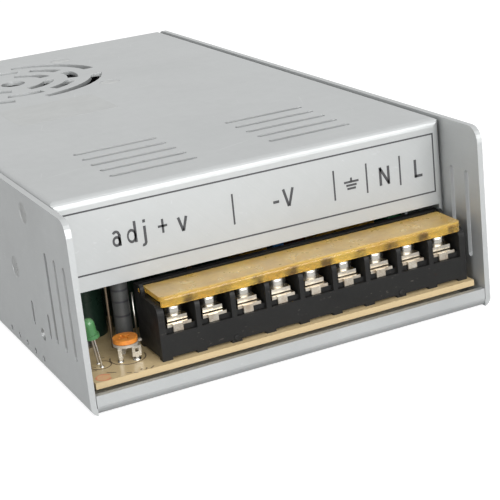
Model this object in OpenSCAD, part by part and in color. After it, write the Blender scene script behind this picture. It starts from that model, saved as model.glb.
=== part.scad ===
// Enclosed switching power supply: folded aluminium case, fan, screw terminals and the full board inside.
// Frame: +Z up, origin at the centre of the underside, terminals towards -Y. All sizes in millimetres.
// Inside from_front(), y is the distance behind the front edges of the side walls.

/* [Case] */
// Width across the side walls
case_w = 113; // [113:1:140]
// Length, front edge to rear wall
case_l = 215; // [200:1:280]
// Height of the side walls
case_h = 48.8; // [46:0.1:62]
// Thickness of the chassis sheet
sheet_t = 1.5; // [1.2:0.1:2]
// Inside radius of the chassis bends
bend_r = 0.8; // [0.4:0.1:1.5]
// Height of the front lip
lip_h = 5.1; // [4:0.1:6]
// Radius of the top corners of the side walls
wall_corner_r = 4; // [2:0.5:8]

/* [Top cover] */
// Thickness of the cover sheet
cover_t = 1.2; // [0.8:0.1:1.4]
// Gap between cover and side walls
cover_gap = 0.25; // [0.15:0.05:0.4]
// Distance from the wall fronts to the cover's front face
face_setback = 16.85; // [16.8:0.05:20]
// Height of the cover's front face
face_h = 23.6; // [20:0.1:23.6]
// Outside radius of the cover's bends
cover_bend_r = 2.2; // [1.6:0.1:3]
// Depth of the side and rear flanges
flange_h = 13; // [10:1:16]
// Number of slots in each vent group
vent_count = 5; // [3:1:6]
// Length of a vent slot
vent_l = 24; // [18:1:28]
// Width of a vent slot
vent_w = 2; // [1.5:0.1:3]
// Distance between vent slots
vent_pitch = 6.9; // [5:0.1:8]

/* [Fan] */
// Side of the square fan frame
fan_size = 60; // [50:1:70]
// Height of the fan frame
fan_h = 15; // [12:1:18]
// Distance from the fan's sides to its screw holes
fan_hole_inset = 5; // [4:0.5:7]
// Number of fan blades
fan_blades = 7; // [5:1:9]

/* [Circuit board] */
// Thickness of the board
board_t = 1.6; // [1.2:0.1:2.4]
// Height of the spacers under the board
spacer_h = 3.9; // [3:0.1:5]
// Gap between the board and the front lip
board_front_gap = 1.5; // [0.4:0.1:2]

/* [Terminals] */
// Number of screw terminals
terminal_count = 9; // [5:1:9]
// Distance between terminals
terminal_pitch = 9.53; // [7.9:0.01:10]
// Distance from the wall fronts to the block's front face
block_setback = 4.7; // [4.5:0.1:5.5]
// Depth of the terminal block
block_depth = 14.6; // [14.2:0.1:18]
// Height of the block's front wall above the board
block_front_h = 7.15; // [6:0.05:9]
// Height of the barriers above the board
barrier_h = 14.3; // [13:0.1:14.8]
// Thickness of a barrier between terminals
barrier_t = 1.3; // [0.9:0.1:1.8]
// Radius of the terminal screw shanks
terminal_screw_r = 1.7; // [1.4:0.05:2]
// Rise of a terminal screw for one turn
terminal_thread_pitch = 0.6; // [0.4:0.05:0.8]

/* [Parts on the board] */
// Diameter of the two input reservoir capacitors
bulk_d = 25; // [20:1:26]
// Height of the input reservoir capacitors
bulk_h = 37; // [30:1:38]
// Diameter of the output capacitors
output_cap_d = 10; // [8:1:11]
// Height of the output capacitors
output_cap_h = 25; // [16:1:30]
// Outside diameter of the output inductor's core
inductor_d = 32; // [26:1:34]
// Width of the main transformer's core
transformer_w = 42; // [36:1:43]
// Diameter of the trimmer's rotor
trimmer_d = 6.4; // [5:0.1:7]
// Diameter of the indicator lamp
led_d = 3; // [3:0.5:4]

/* [Hidden] */
$fn = 48;

fit = 0.05;                          // clearance round a shank in its hole
play = 0.3;                          // clearance between loose neighbours
half_w = case_w / 2;
inner_w = half_w - sheet_t;          // inner face of a side wall
outer_bend_r = bend_r + sheet_t;
fold_gap = 0.15;                     // slit between a fold and the side wall beside it

board_z0 = sheet_t + spacer_h;
board_z = board_z0 + board_t;        // upper face of the board
board_y0 = sheet_t + board_front_gap;
board_rear_gap = 6;
board_l = case_l - sheet_t - board_rear_gap - board_y0;
board_half_w = inner_w - 1.4;

cover_z = case_h - cover_t;          // underside of the cover's top
cover_half_w = inner_w - cover_gap;
cover_l = case_l - sheet_t - cover_gap - face_setback;
face_z = case_h - face_h;            // lower edge of the cover's front face

// Case hardware
m3_r = 1.45;
m3_head_r = 2.75;
m3_head_h = 1.3;
cover_screw_l = 5;
cover_screw_y = [33.8, case_l - 33.8];
cover_screw_z = case_h - 5.6;
bar_y0 = 43;
bar_l = 61;
bar_t = 4;
bar_z0 = board_z + 3.5;
bar_h = case_h - flange_h - play - bar_z0;
bar_screw_y = [49.4, bar_y0 + bar_l - 7];
bar_screw_z = 24.9;
bar_x = inner_w - bar_t;             // inner face of a heat bar
bar_screw_l = sheet_t + bar_t - 0.4;
mount_hole_r = 1.65;
mount_spacing_y = 150;
mount_y0 = 32;
mount_spacing_x = 50;
side_mount_z = 11.3;

// Terminal block
block_z0 = board_z;
block_foot_h = 0.7;
block_foot_w = 2.7;
pip_r = 0.85;                        // moulded pips low on the block's front
block_end_t = 1.75;                  // wall at each end of the block
block_l = terminal_count * terminal_pitch + 2 * block_end_t - barrier_t;
block_right_gap = 2.4;
block_x = inner_w - block_right_gap - block_l / 2;
block_front_t = 1.2;
block_floor_z = board_z + 7.9;       // seat of the base plates
block_front_z = board_z + block_front_h;
block_rear_y = block_setback + block_depth;
block_rear_t = 2;
barrier_z = board_z + barrier_h;
block_rear_z = min(board_z + 16.6, face_z - 0.8);
cell_w = terminal_pitch - barrier_t;
terminal_y = block_setback + 5.5;

// Terminal hardware
base_w = 6.4;
base_t = 0.8;
base_y0 = block_setback + 1.2;
base_z = block_floor_z + base_t;
base_leg_y = base_y0 + 7.6;
clamp_w = 5.3;
clamp_d = 6.2;
clamp_t = 0.9;
clamp_rest_gap = 0.5;                // the clamps stand this far open
clamp_z = base_z + clamp_rest_gap;
lock_washer_t = 0.8;
terminal_head_r = 2.75;
terminal_head_h = 2;
terminal_head_z = clamp_z + clamp_t + lock_washer_t + fit;
terminal_shank_l = 5.5;

// Hinged terminal cover
flap_t = 1.2;
flap_z = board_z + 15.3;             // underside
flap_y0 = block_setback - 0.5;
flap_y1 = block_rear_y - 3.6;
flap_lip_t = 0.9;
flap_lip_h = 2.6;
ear_t = 1;
flap_l = block_l - 2 * (ear_t + 0.15);
pivot_y = flap_y1 + 0.2;
pivot_z = flap_z + 0.2;
pivot_r = 0.6;
knuckle_r = 0.95;
knuckle_l = 3;

// Small controls at the front left corner
led_x = -(inner_w - 6.4);
led_y = 13.2;
led_stand = 7.7;
led_lean = 8;
lead_pitch = 2.54;
trimmer_x = -(inner_w - 13.7);
trimmer_y = 13.6;
trimmer_z = board_z + 3.6;           // underside of the trimmer's plate
trimmer_plate_t = 0.7;
resistor_x = -(inner_w - 16.6);
resistor_y = 22;
resistor_r = 2.2;

// Fan
fan_wall_gap = 5.55;                 // from the cover's side flange to the fan
fan_rear_gap = 20;
fan_x = -(cover_half_w - cover_t - fan_wall_gap - fan_size / 2);
fan_y = case_l - fan_rear_gap - fan_size / 2;
fan_hole_pitch = fan_size - 2 * fan_hole_inset;
fan_z0 = cover_z - fan_h;
fan_bore_r = fan_size / 2 - 1.4;
fan_hub_r = 13;
fan_screw_r = 2;
fan_screw_l = fan_h - 2;
fan_head_h = 1;
fan_head_rim = 1.2;                  // how far a fan screw's head reaches past its shank
fan_head_sink = 0.15;
grille_slot_w = 3.6;
grille_turn = -95;                   // direction of the grille's first bridge
// Rings of the grille: [mean radius, number of slots, degrees in each slot, turn]
grille_rings = [
    [0.93 * fan_size / 2, 4, 69, 45], [0.665 * fan_size / 2, 8, 33, 0], [0.4 * fan_size / 2, 4, 62, 45]
];

// Places of the larger parts: [x, y]
spacers_at = [
    [-(inner_w - 7), 28], [14, 27],
    [-(inner_w - 7), case_l - 103], [inner_w - 7, case_l - 97],
    [-(inner_w - 7), case_l - 13], [inner_w - 7, case_l - 13]
];
output_caps_at = [[-(inner_w - 11.5), 36], [-31.5, 36], [-19.5, 36], [-31.5, 48], [-19.5, 48], [-7.5, 36]];
device_t = 5;                        // thickness of a power device on a heat bar
bulk_x = bar_x - device_t - 2.5 - bulk_d / 2;
bulk_y = 76.5 + bulk_d / 2;
bulk_caps_at = [[bulk_x, bulk_y], [bulk_x, bulk_y + bulk_d + 2]];
inductor_at = [-24.5, 60.5 + inductor_d / 2 + 1.5];
transformer_at = [bulk_x - bulk_d / 2 - 3.5 - transformer_w / 2, fan_y - fan_size / 2 - 18];
choke_at = [inner_w - 23, 57];
film_caps_at = [[31, 34, 0], [6, 46, 90], [6, 80, 90]];
disc_caps_at = [[15, 44], [15, 60]];
fuse_at = [inner_w - 15, 24.5];
thermistor_at = [inner_w - 8.2, 36];
drive_at = [bulk_x - 1, bulk_y + 1.5 * bulk_d + 2 + 18.5];
chip_at = [-6, case_l - 38];
small_caps_at = [
    [inner_w - 9, case_l - 80], [inner_w - 9, case_l - 66], [inner_w - 9, case_l - 52],
    [20, case_l - 45], [30, case_l - 40]
];
resistors_at = [for (i = [0:7]) [-38 + 8 * (i % 4), case_l - 70 + 16 * floor(i / 4)]];
header_at = [20, case_l - 22];

// ---------- Shapes shared by several parts ----------

function arc(cx, cy, r, a0, a1, n = 6) =
    [for (i = [0:n]) [cx + r * cos(a0 + (a1 - a0) * i / n), cy + r * sin(a0 + (a1 - a0) * i / n)]];

// Plane shape with straight sides and round ends, along x
module stadium(length, width) {
    straight = (length - width) / 2;
    polygon(concat(arc(straight, 0, width / 2, -90, 90), arc(-straight, 0, width / 2, 90, 270)));
}

// Plane rectangle with round corners, centred
module rounded_rect(w, l, r) {
    x = w / 2 - r;
    y = l / 2 - r;
    polygon(concat(arc(x, y, r, 0, 90, 4), arc(-x, y, r, 90, 180, 4),
        arc(-x, -y, r, 180, 270, 4), arc(x, -y, r, 270, 360, 4)));
}

// Moulded box standing on z = 0
module moulded_box(w, l, h, r = 0.8) {
    linear_extrude(h) rounded_rect(w, l, r);
}

// Puts y = 0 at the front edges of the side walls
module from_front() {
    translate([0, -case_l / 2, 0]) children();
}

// Extrudes a (y, z) shape along x from x0
module along_x(x0, length) {
    translate([x0, 0, 0]) rotate([90, 0, 90]) linear_extrude(length) children();
}

// Extrudes an (x, z) shape along y from y0
module along_y(y0, length) {
    translate([0, y0 + length, 0]) rotate([90, 0, 0]) linear_extrude(length) children();
}

// Can with a rounded top edge standing on z = 0
module can(d, h, edge_r) {
    rotate_extrude()
        polygon(concat([[0, 0], [d / 2, 0]], arc(d / 2 - edge_r, h - edge_r, edge_r, 0, 90, 4), [[0, h]]));
}

// Straight wire leg going down from z = top to z = 0
module leg(x, y, top, r = 0.3) {
    translate([x, y, 0]) cylinder(h = top, r = r, $fn = 16);
}

// Countersunk screw along +x, its flat head at x = 0
module countersunk_screw(r, head_r, head_h, length) {
    rotate([0, 90, 0]) {
        cylinder(h = head_h, r1 = head_r, r2 = r);
        translate([0, 0, head_h]) cylinder(h = length - head_h, r = r);
    }
}

// Both side walls: children are drawn for the left wall and mirrored to the right one
module both_sides() {
    children();
    mirror([1, 0, 0]) children();
}

// Every screw through a side wall: [y, z, length]
side_screws_at = concat(
    [for (y = cover_screw_y) [y, cover_screw_z, cover_screw_l]],
    [for (y = bar_screw_y) [y, bar_screw_z, bar_screw_l]]
);

// ---------- Case ----------

module chassis_section() {
    x = half_w - outer_bend_r;
    polygon(concat(
        [[-half_w, case_h]],
        arc(-x, outer_bend_r, outer_bend_r, 180, 270), arc(x, outer_bend_r, outer_bend_r, 270, 360),
        [[half_w, case_h], [inner_w, case_h]],
        arc(x, outer_bend_r, bend_r, 360, 270), arc(-x, outer_bend_r, bend_r, 270, 180),
        [[-inner_w, case_h]]
    ));
}

// Upturned edge of the bottom sheet in (y, z), its outer face at y = 0
module upturn(h) {
    polygon(concat(
        [[outer_bend_r, 0]], arc(outer_bend_r, outer_bend_r, outer_bend_r, 270, 180),
        [[0, h], [sheet_t, h]], arc(outer_bend_r, outer_bend_r, bend_r, 180, 270)
    ));
}

// Waste outside the rounded front corner of the side walls, in (y, z)
module wall_corner_waste() {
    polygon(concat(
        [[-1, case_h + 1], [-1, case_h - wall_corner_r]],
        arc(wall_corner_r, case_h - wall_corner_r, wall_corner_r, 180, 90),
        [[wall_corner_r, case_h + 1]]
    ));
}

module side_wall_slots() {
    for (y = [6, 13, 20])
        translate([y, 24.4]) rotate(90) stadium(23.8, 1.8);
    translate([25.2, 15.5]) rotate(90) stadium(6.6, 1.4);
    translate([38.5, 15.3]) rotate(90) stadium(6.6, 1.4);
    for (i = [0:4])
        translate([35 + 7 * i, 3.6]) circle(r = 0.8, $fn = 24);
}

rear_vent_pitch = 6.4;
rear_vent_l = 26;
rear_vent_count = floor((2 * inner_w - 12) / rear_vent_pitch);

module chassis() {
    fold_x0 = -(inner_w - fold_gap);
    fold_w = 2 * (inner_w - fold_gap);
    rear_wall_h = cover_z - fold_gap;
    color("#b4b8b9") from_front() difference() {
        union() {
            difference() {
                along_y(0, case_l) chassis_section();
                for (y = [-1, case_l - outer_bend_r])
                    translate([fold_x0, y, -1]) cube([fold_w, outer_bend_r + 1, outer_bend_r + 2]);
            }
            along_x(fold_x0, fold_w) upturn(lip_h);
            translate([0, case_l, 0]) mirror([0, 1, 0]) along_x(fold_x0, fold_w) upturn(rear_wall_h);
        }
        along_x(-half_w - 1, case_w + 2) wall_corner_waste();
        translate([0, case_l, 0]) mirror([0, 1, 0]) along_x(-half_w - 1, case_w + 2) wall_corner_waste();
        along_x(-half_w - 1, case_w + 2) side_wall_slots();
        // Tapped side mounting holes
        for (y = [mount_y0, mount_y0 + mount_spacing_y])
            translate([-half_w - 1, y, side_mount_z]) rotate([0, 90, 0]) cylinder(h = case_w + 2, r = mount_hole_r);
        // Countersunk holes for the cover and heat bar screws
        both_sides() for (p = side_screws_at)
            translate([-half_w, p[0], p[1]]) {
                translate([-fit, 0, 0]) rotate([0, 90, 0])
                    cylinder(h = m3_head_h + fit, r1 = m3_head_r + 2 * fit, r2 = m3_r + 2 * fit);
                translate([m3_head_h - fit, 0, 0]) rotate([0, 90, 0]) cylinder(h = sheet_t, r = m3_r + fit);
            }
        // Tapped mounting holes in the bottom
        for (x = [-1, 1], y = [mount_y0, mount_y0 + mount_spacing_y])
            translate([x * mount_spacing_x / 2, y, -1]) cylinder(h = sheet_t + 2, r = mount_hole_r);
        // Air slots in the rear wall
        along_y(case_l - sheet_t - 1, sheet_t + 2)
            for (i = [0:rear_vent_count - 1])
                translate([(i - (rear_vent_count - 1) / 2) * rear_vent_pitch, 23]) rotate(90)
                    stadium(rear_vent_l, 2.6);
    }
}

// Block with rounded top, front and vertical edges that the cover is folded round
module cover_form(inset) {
    r = cover_bend_r - inset;
    w = cover_half_w - inset;
    y0 = face_setback + inset;
    y1 = face_setback + cover_l - inset;
    z1 = case_h - inset;
    intersection() {
        along_y(y0, y1 - y0)
            polygon(concat([[-w, 0], [w, 0]], arc(w - r, z1 - r, r, 0, 90), arc(-w + r, z1 - r, r, 90, 180)));
        along_x(-w, 2 * w)
            polygon(concat([[y0, 0], [y1, 0]], arc(y1 - r, z1 - r, r, 0, 90), arc(y0 + r, z1 - r, r, 90, 180)));
        linear_extrude(z1) translate([0, (y0 + y1) / 2]) rounded_rect(2 * w, y1 - y0, r);
    }
}

// One curved slot of the fan grille
module grille_slot(r, a0, a1, width) {
    polygon(concat(arc(0, 0, r + width / 2, a0, a1, 10), arc(0, 0, r - width / 2, a1, a0, 10)));
}

module cover_openings() {
    for (side = [-1, 1], i = [0:vent_count - 1])
        translate([side * 22.3, 29.5 + i * vent_pitch]) stadium(vent_l, vent_w);
    translate([fan_x, fan_y]) {
        for (ring = grille_rings, q = [0:ring[1] - 1])
            rotate(grille_turn + ring[3] + 360 / ring[1] * q) grille_slot(ring[0], -ring[2] / 2, ring[2] / 2, grille_slot_w);
        circle(r = 4);
        for (x = [-1, 1], y = [-1, 1])
            translate([x, y] * fan_hole_pitch / 2) circle(r = fan_screw_r + fit);
    }
}

module top_cover() {
    ear_l = 11;
    ear_z = 20.8;
    flange_z = case_h - flange_h;
    color("#bdc1c2") from_front() difference() {
        cover_form(0);
        cover_form(cover_t);
        cover_waste_below(ear_l, ear_z, flange_z);
        translate([0, 0, cover_z - 1]) linear_extrude(cover_t + 2) cover_openings();
        translate([fan_x, fan_y, case_h - fan_head_sink - fan_head_h]) for (x = [-1, 1], y = [-1, 1])
            translate([x * fan_hole_pitch / 2, y * fan_hole_pitch / 2, 0])
                cylinder(h = 1.5 * fan_head_h, r1 = fan_screw_r + 2 * fit, r2 = fan_screw_r + 2 * fit + 1.5 * fan_head_rim);
        both_sides() for (y = cover_screw_y)
            translate([-cover_half_w - 1, y, cover_screw_z]) rotate([0, 90, 0]) cylinder(h = cover_t + 3, r = m3_r + fit);
    }
}

// Everything the folded cover leaves open below its face and flanges
module cover_waste_below(ear_l, ear_z, flange_z) {
    lip_w = cover_half_w - 1.9;
    rear_y = face_setback + cover_l;
    along_x(-half_w, case_w) polygon([
        [face_setback - 1, -1], [rear_y + 1, -1], [rear_y + 1, flange_z], [face_setback + ear_l + 3, flange_z],
        [face_setback + ear_l, flange_z - 3], [face_setback + ear_l, ear_z], [face_setback - 1, ear_z]
    ]);
    translate([-lip_w, face_setback - 1, ear_z - 1]) cube([2 * lip_w, cover_bend_r + 1.5, face_z - ear_z + 1]);
}

module side_screws() {
    color("#8f9496") from_front() both_sides() for (p = side_screws_at)
        translate([-half_w + 0.05, p[0], p[1]])
            countersunk_screw(m3_r, m3_head_r, m3_head_h, p[2]);
}

// ---------- Board and its fixings ----------

module insulation_sheet() {
    sheet_w = 2 * (inner_w - bend_r - 1);
    color("#e9e6da") from_front() difference() {
        translate([-sheet_w / 2, board_y0 + 2, sheet_t]) cube([sheet_w, board_l - 4, 0.3]);
        for (p = spacers_at)
            translate([p[0], p[1], sheet_t - 1]) cylinder(h = 3, r = 3.4);
    }
}

module board_spacers() {
    color("#c9a64a") from_front() for (p = spacers_at)
        translate([p[0], p[1], sheet_t]) difference() {
            cylinder(h = spacer_h, r = 2.8, $fn = 6);
            translate([0, 0, 0.6]) cylinder(h = spacer_h, r = m3_r + fit);
        }
}

module board_screws() {
    head_h = 1.9;
    color("#c8ccce") from_front() for (p = spacers_at)
        translate([p[0], p[1], board_z]) difference() {
            union() {
                rotate_extrude()
                    polygon(concat([[0, 0], [2.8, 0]], arc(1.5, 0.6, 1.3, 0, 90, 4), [[0, head_h]]));
                translate([0, 0, -board_t - spacer_h + 0.8]) cylinder(h = board_t + spacer_h - 0.8, r = m3_r);
            }
            for (a = [0, 90])
                rotate(a) translate([-1.6, -0.3, head_h - 1]) cube([3.2, 0.6, 2]);
        }
}

module circuit_board() {
    color("#c0a468") from_front() difference() {
        translate([-board_half_w, board_y0, board_z0]) cube([2 * board_half_w, board_l, board_t]);
        for (p = spacers_at)
            translate([p[0], p[1], board_z0 - 1]) cylinder(h = board_t + 2, r = m3_r + 0.15);
    }
}

// ---------- Terminal block ----------

function terminal_x(i) = block_x + (i - (terminal_count - 1) / 2) * terminal_pitch;

// Middle of the barrier to the left of terminal i
function barrier_x(i) = terminal_x(i) - terminal_pitch / 2;

// Left side of foot i, kept within the block's ends
function foot_x(i) = block_x + max(-block_l / 2, min(block_l / 2, barrier_x(i) - block_x + block_foot_w / 2) - block_foot_w);

// Outline of a barrier in (y, z): upright front, rounded shoulder
module barrier_outline(top, rear) {
    r = 2.4;
    polygon(concat([[block_setback, board_z + block_foot_h], [block_setback, top - r]],
        arc(block_setback + r, top - r, r, 180, 90), [[rear, top], [rear, board_z + block_foot_h]]));
}

// Pivot ear at an end of the block in (y, z)
module ear_outline() {
    r = 1.6;
    polygon(concat([[pivot_y - r, barrier_z - 2]], arc(pivot_y, pivot_z, r, 180, 60),
        [[block_rear_y, pivot_z + 0.6], [block_rear_y, barrier_z - 2]]));
}

module terminal_block() {
    x0 = block_x - block_l / 2;
    rear_wall_y = block_rear_y - block_rear_t;
    color("#3a3d3f") from_front() difference() {
        union() {
            // Front wall, seat under the base plates, and rear wall
            along_x(x0, block_l) polygon([
                [block_setback, board_z + block_foot_h], [block_setback, block_front_z],
                [block_setback + block_front_t, block_front_z], [block_setback + block_front_t, block_floor_z],
                [rear_wall_y, block_floor_z], [rear_wall_y, block_rear_z],
                [block_rear_y, block_rear_z], [block_rear_y, board_z + block_foot_h]
            ]);
            for (i = [1:terminal_count - 1])
                along_x(barrier_x(i) - barrier_t / 2, barrier_t)
                    barrier_outline(barrier_z, rear_wall_y + 0.5);
            for (x = [x0, x0 + block_l - block_end_t])
                along_x(x, block_end_t) barrier_outline(barrier_z, rear_wall_y + 0.5);
            for (x = [x0, x0 + block_l - ear_t])
                along_x(x, ear_t) ear_outline();
            // Feet along both long edges, under the barriers and the ends
            for (i = [0:terminal_count], y = [block_setback, block_rear_y - 2])
                translate([foot_x(i), y, board_z]) cube([block_foot_w, 2, block_foot_h + 0.5]);
            for (i = [2, terminal_count - 2])
                translate([barrier_x(i), block_setback + 0.3, board_z + 1.1]) rotate([90, 0, 0]) {
                    cylinder(h = 0.5, r = pip_r, $fn = 24);
                    translate([0, 0, 0.5]) cylinder(h = 0.2, r1 = pip_r, r2 = pip_r - 0.25, $fn = 24);
                }
        }
        for (i = [0:terminal_count - 1]) {
            translate([terminal_x(i), terminal_y, block_floor_z - 5]) cylinder(h = 6, r = terminal_screw_r + 0.5);
            translate([terminal_x(i) - 0.8, base_leg_y - 0.2, board_z - 1]) cube([1.6, base_t + 0.4, 12]);
            // Wire entry notch worn into the front wall's upper edge
            translate([terminal_x(i) - cell_w / 2, block_setback - 1, block_front_z - 0.5])
                cube([cell_w, block_front_t + 1, 1]);
        }
        // Coring slots in the rear wall
        for (i = [0:terminal_count - 1])
            translate([terminal_x(i) - 1.6, block_rear_y - 1, board_z + 2]) cube([3.2, 2, 5]);
        translate([x0 - 1, pivot_y, pivot_z]) rotate([0, 90, 0]) cylinder(h = block_l + 2, r = pivot_r + fit, $fn = 32);
    }
}

module terminal_bases() {
    tab_w = 2.6;
    tab_x = -0.6;
    color("#d9dbd6") from_front() for (i = [0:terminal_count - 1])
        translate([terminal_x(i), 0, 0]) difference() {
            union() {
                translate([-base_w / 2, base_y0, block_floor_z])
                    cube([base_w, base_leg_y + base_t - base_y0, base_t]);
                // Wire guide tab, bent down over the block's front wall
                along_x(tab_x - tab_w / 2, tab_w) polygon([
                    [base_y0 - 0.65, block_front_z - 0.4], [base_y0 - 0.05, block_front_z - 0.4],
                    [base_y0 - 0.05, block_floor_z], [base_y0 + 1, block_floor_z],
                    [base_y0 + 1, base_z], [base_y0 - 0.65, base_z]
                ]);
                translate([-0.6, base_leg_y, board_z]) cube([1.2, base_t, block_floor_z - board_z + 0.1]);
            }
            translate([0, terminal_y, block_floor_z - 1]) cylinder(h = 4, r = terminal_screw_r + fit);
        }
}

// Square clamping washer with turned-down front edge, and the split washer on it
module clamp(i) {
    hole_r = terminal_screw_r + 2 * fit;
    color("#dcdedb") from_front() translate([terminal_x(i), terminal_y, clamp_z]) {
        difference() {
            union() {
                translate([-clamp_w / 2, -clamp_d / 2, 0]) cube([clamp_w, clamp_d, clamp_t]);
                translate([-clamp_w / 2, -clamp_d / 2, -0.25]) cube([clamp_w, 0.7, 0.5]);
            }
            translate([0, 0, -1]) cylinder(h = clamp_t + 2, r = hole_r);
        }
        translate([0, 0, clamp_t]) difference() {
            cylinder(h = lock_washer_t, r = terminal_screw_r + 0.85);
            translate([0, 0, -1]) cylinder(h = lock_washer_t + 2, r = hole_r);
            rotate(-60) translate([0, -0.25, -1]) cube([4, 0.5, 4]);
        }
    }
}

module terminal_screw(i) {
    color("#e2e3df") from_front() translate([terminal_x(i), terminal_y, terminal_head_z]) difference() {
        union() {
            rotate_extrude()
                polygon(concat([[0, 0], [terminal_head_r, 0]],
                    arc(terminal_head_r - 1, terminal_head_h - 1, 1, 0, 90, 4), [[0, terminal_head_h]]));
            translate([0, 0, -terminal_shank_l]) cylinder(h = terminal_shank_l + 0.1, r = terminal_screw_r);
        }
        for (a = [0, 90])
            rotate(a) translate([-2, -0.35, terminal_head_h - 1.2]) cube([4, 0.7, 2]);
    }
}

// Hinged strip over the terminals, with a turned-down front edge and a pivot pin at each end
module terminal_cover() {
    top = flap_z + flap_t;
    r = 1;
    x0 = block_x - flap_l / 2;
    lip_z = top - flap_lip_h;
    color("#b98a2f", 0.8) from_front() {
        intersection() {
            along_x(x0, flap_l) polygon(concat(
                [[flap_y0, lip_z]], arc(flap_y0 + r, top - r, r, 180, 90),
                [[flap_y1, top], [flap_y1, flap_z], [flap_y0 + flap_lip_t, flap_z], [flap_y0 + flap_lip_t, lip_z]]
            ));
            translate([block_x, flap_y0 + 10, lip_z - 1]) linear_extrude(flap_lip_h + 2)
                rounded_rect(flap_l, 20, 1.6);
        }
        for (side = [-1, 1])
            translate([block_x + side * (flap_l / 2 - knuckle_l / 2), pivot_y, pivot_z]) rotate([0, 90, 0]) {
                cylinder(h = knuckle_l, r = knuckle_r, center = true, $fn = 32);
                translate([0, 0, side * (knuckle_l / 2 + 0.5)]) cylinder(h = 1.1, r = pivot_r, center = true, $fn = 32);
            }
    }
}

// ---------- Front left corner: lamp, trimmer, resistor ----------

// Places children leaning with the lamp, z = 0 at the underside of the lamp
module led_frame() {
    from_front() translate([led_x, led_y, board_z]) rotate([0, -led_lean, 0])
        translate([0, 0, led_stand]) children();
}

module led() {
    r = led_d / 2;
    color("#1f9a50") led_frame() rotate_extrude()
        polygon(concat([[0, 0], [r + 0.4, 0], [r + 0.4, 1], [r, 1]], arc(0, 5.2 - r, r, 0, 90, 8)));
}

module led_leads() {
    color("#d8d4c4") led_frame() for (side = [-1, 1])
        translate([0, side * lead_pitch / 2, -led_stand + 0.15]) cylinder(h = led_stand - 0.15, r = 0.28, $fn = 16);
}

// The trimmer's plate, with a tab that sticks out at its right
module trimmer_frame() {
    color("#a8a49a") from_front() translate([trimmer_x, trimmer_y, trimmer_z]) difference() {
        union() {
            cylinder(h = trimmer_plate_t, r = trimmer_d / 2);
            translate([0, -0.5, 0]) cube([trimmer_d / 2 + 0.9, 1, trimmer_plate_t - 0.2]);
        }
        translate([0, 0, -1]) cylinder(h = trimmer_plate_t + 2, r = 0.9 + fit);
    }
}

// Two legs at the front and one behind, each a strip that narrows to a pin: [x, y, width]
module trimmer_legs() {
    strips = [[1.6, -2.7, 2.4], [-2.4, -1.7, 1], [0, 2.7, 1.6]];
    strip_h = trimmer_z - board_z - 0.9;
    color("#d5d3cb") from_front() for (s = strips)
        translate([trimmer_x + s[0], trimmer_y + s[1], board_z]) difference() {
            union() {
                translate([-s[2] / 2, -0.3, 0.9]) cube([s[2], 0.6, strip_h]);
                translate([-0.4, -0.3, 0]) cube([0.8, 0.6, 1]);
            }
            // Square window in the widest strip
            if (s[2] > 2)
                translate([-0.45, -1, 0.9 + strip_h * 0.45]) cube([0.9, 2, 0.9]);
        }
}

module trimmer_rotor() {
    rotor_z = trimmer_z + trimmer_plate_t + 0.1;
    rotor_t = 1.1;
    color("#e0701c") from_front() translate([trimmer_x, trimmer_y, rotor_z]) difference() {
        union() {
            cylinder(h = rotor_t, r = trimmer_d / 2 - 0.1);
            translate([0, 0, -trimmer_plate_t - 0.5]) cylinder(h = trimmer_plate_t + 0.6, r = 0.9);
        }
        for (a = [20, 110])
            rotate(a) translate([-1.7, -0.35, rotor_t - 0.6]) cube([3.4, 0.7, 1]);
    }
}

module upright_resistor() {
    body_z = board_z + 1;
    body_l = 16.5;
    lead_r = 0.35;
    back_x = -resistor_r - 1.3;
    top_z = body_z + body_l + 1.2;
    color("#66717a") from_front() translate([resistor_x, resistor_y, 0]) {
        translate([0, 0, body_z]) cylinder(h = body_l, r = resistor_r);
        translate([0, 0, board_z]) cylinder(h = top_z - board_z, r = lead_r, $fn = 16);
        translate([back_x, 0, board_z]) cylinder(h = top_z - board_z, r = lead_r, $fn = 16);
        translate([back_x - lead_r, -lead_r, top_z - lead_r]) cube([-back_x + 2 * lead_r, 2 * lead_r, 2 * lead_r]);
    }
}

// ---------- Fan ----------

module fan_frame() {
    strut_h = 3;
    color("#26282a") from_front() translate([fan_x, fan_y, fan_z0]) {
        difference() {
            linear_extrude(fan_h) rounded_rect(fan_size, fan_size, 4);
            translate([0, 0, -1]) cylinder(h = fan_h + 2, r = fan_bore_r, $fn = 96);
            for (x = [-1, 1], y = [-1, 1])
                translate([x * fan_hole_pitch / 2, y * fan_hole_pitch / 2, -1]) cylinder(h = fan_h + 2, r = fan_screw_r + fit);
        }
        difference() {
            union() {
                cylinder(h = strut_h, r = fan_hub_r);
                for (a = [0:3])
                    rotate(30 + 90 * a) translate([fan_hub_r - 2, -1.2, 0])
                        cube([fan_bore_r - fan_hub_r + 2.5, 2.4, strut_h]);
            }
            translate([0, 0, 1]) cylinder(h = strut_h, r = 1.5 + fit);
        }
    }
}

module fan_rotor() {
    rotor_z = 3.4;
    rotor_h = fan_h - rotor_z - 0.8;
    tip_r = fan_bore_r - 0.8;
    color("#202224") from_front() translate([fan_x, fan_y, fan_z0 + rotor_z]) {
        cylinder(h = rotor_h, r = fan_hub_r - 0.4);
        translate([0, 0, -2.2]) cylinder(h = 2.4, r = 1.5);
        for (b = [0:fan_blades - 1])
            rotate(360 / fan_blades * b) fan_blade(tip_r, rotor_h);
    }
}

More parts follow.
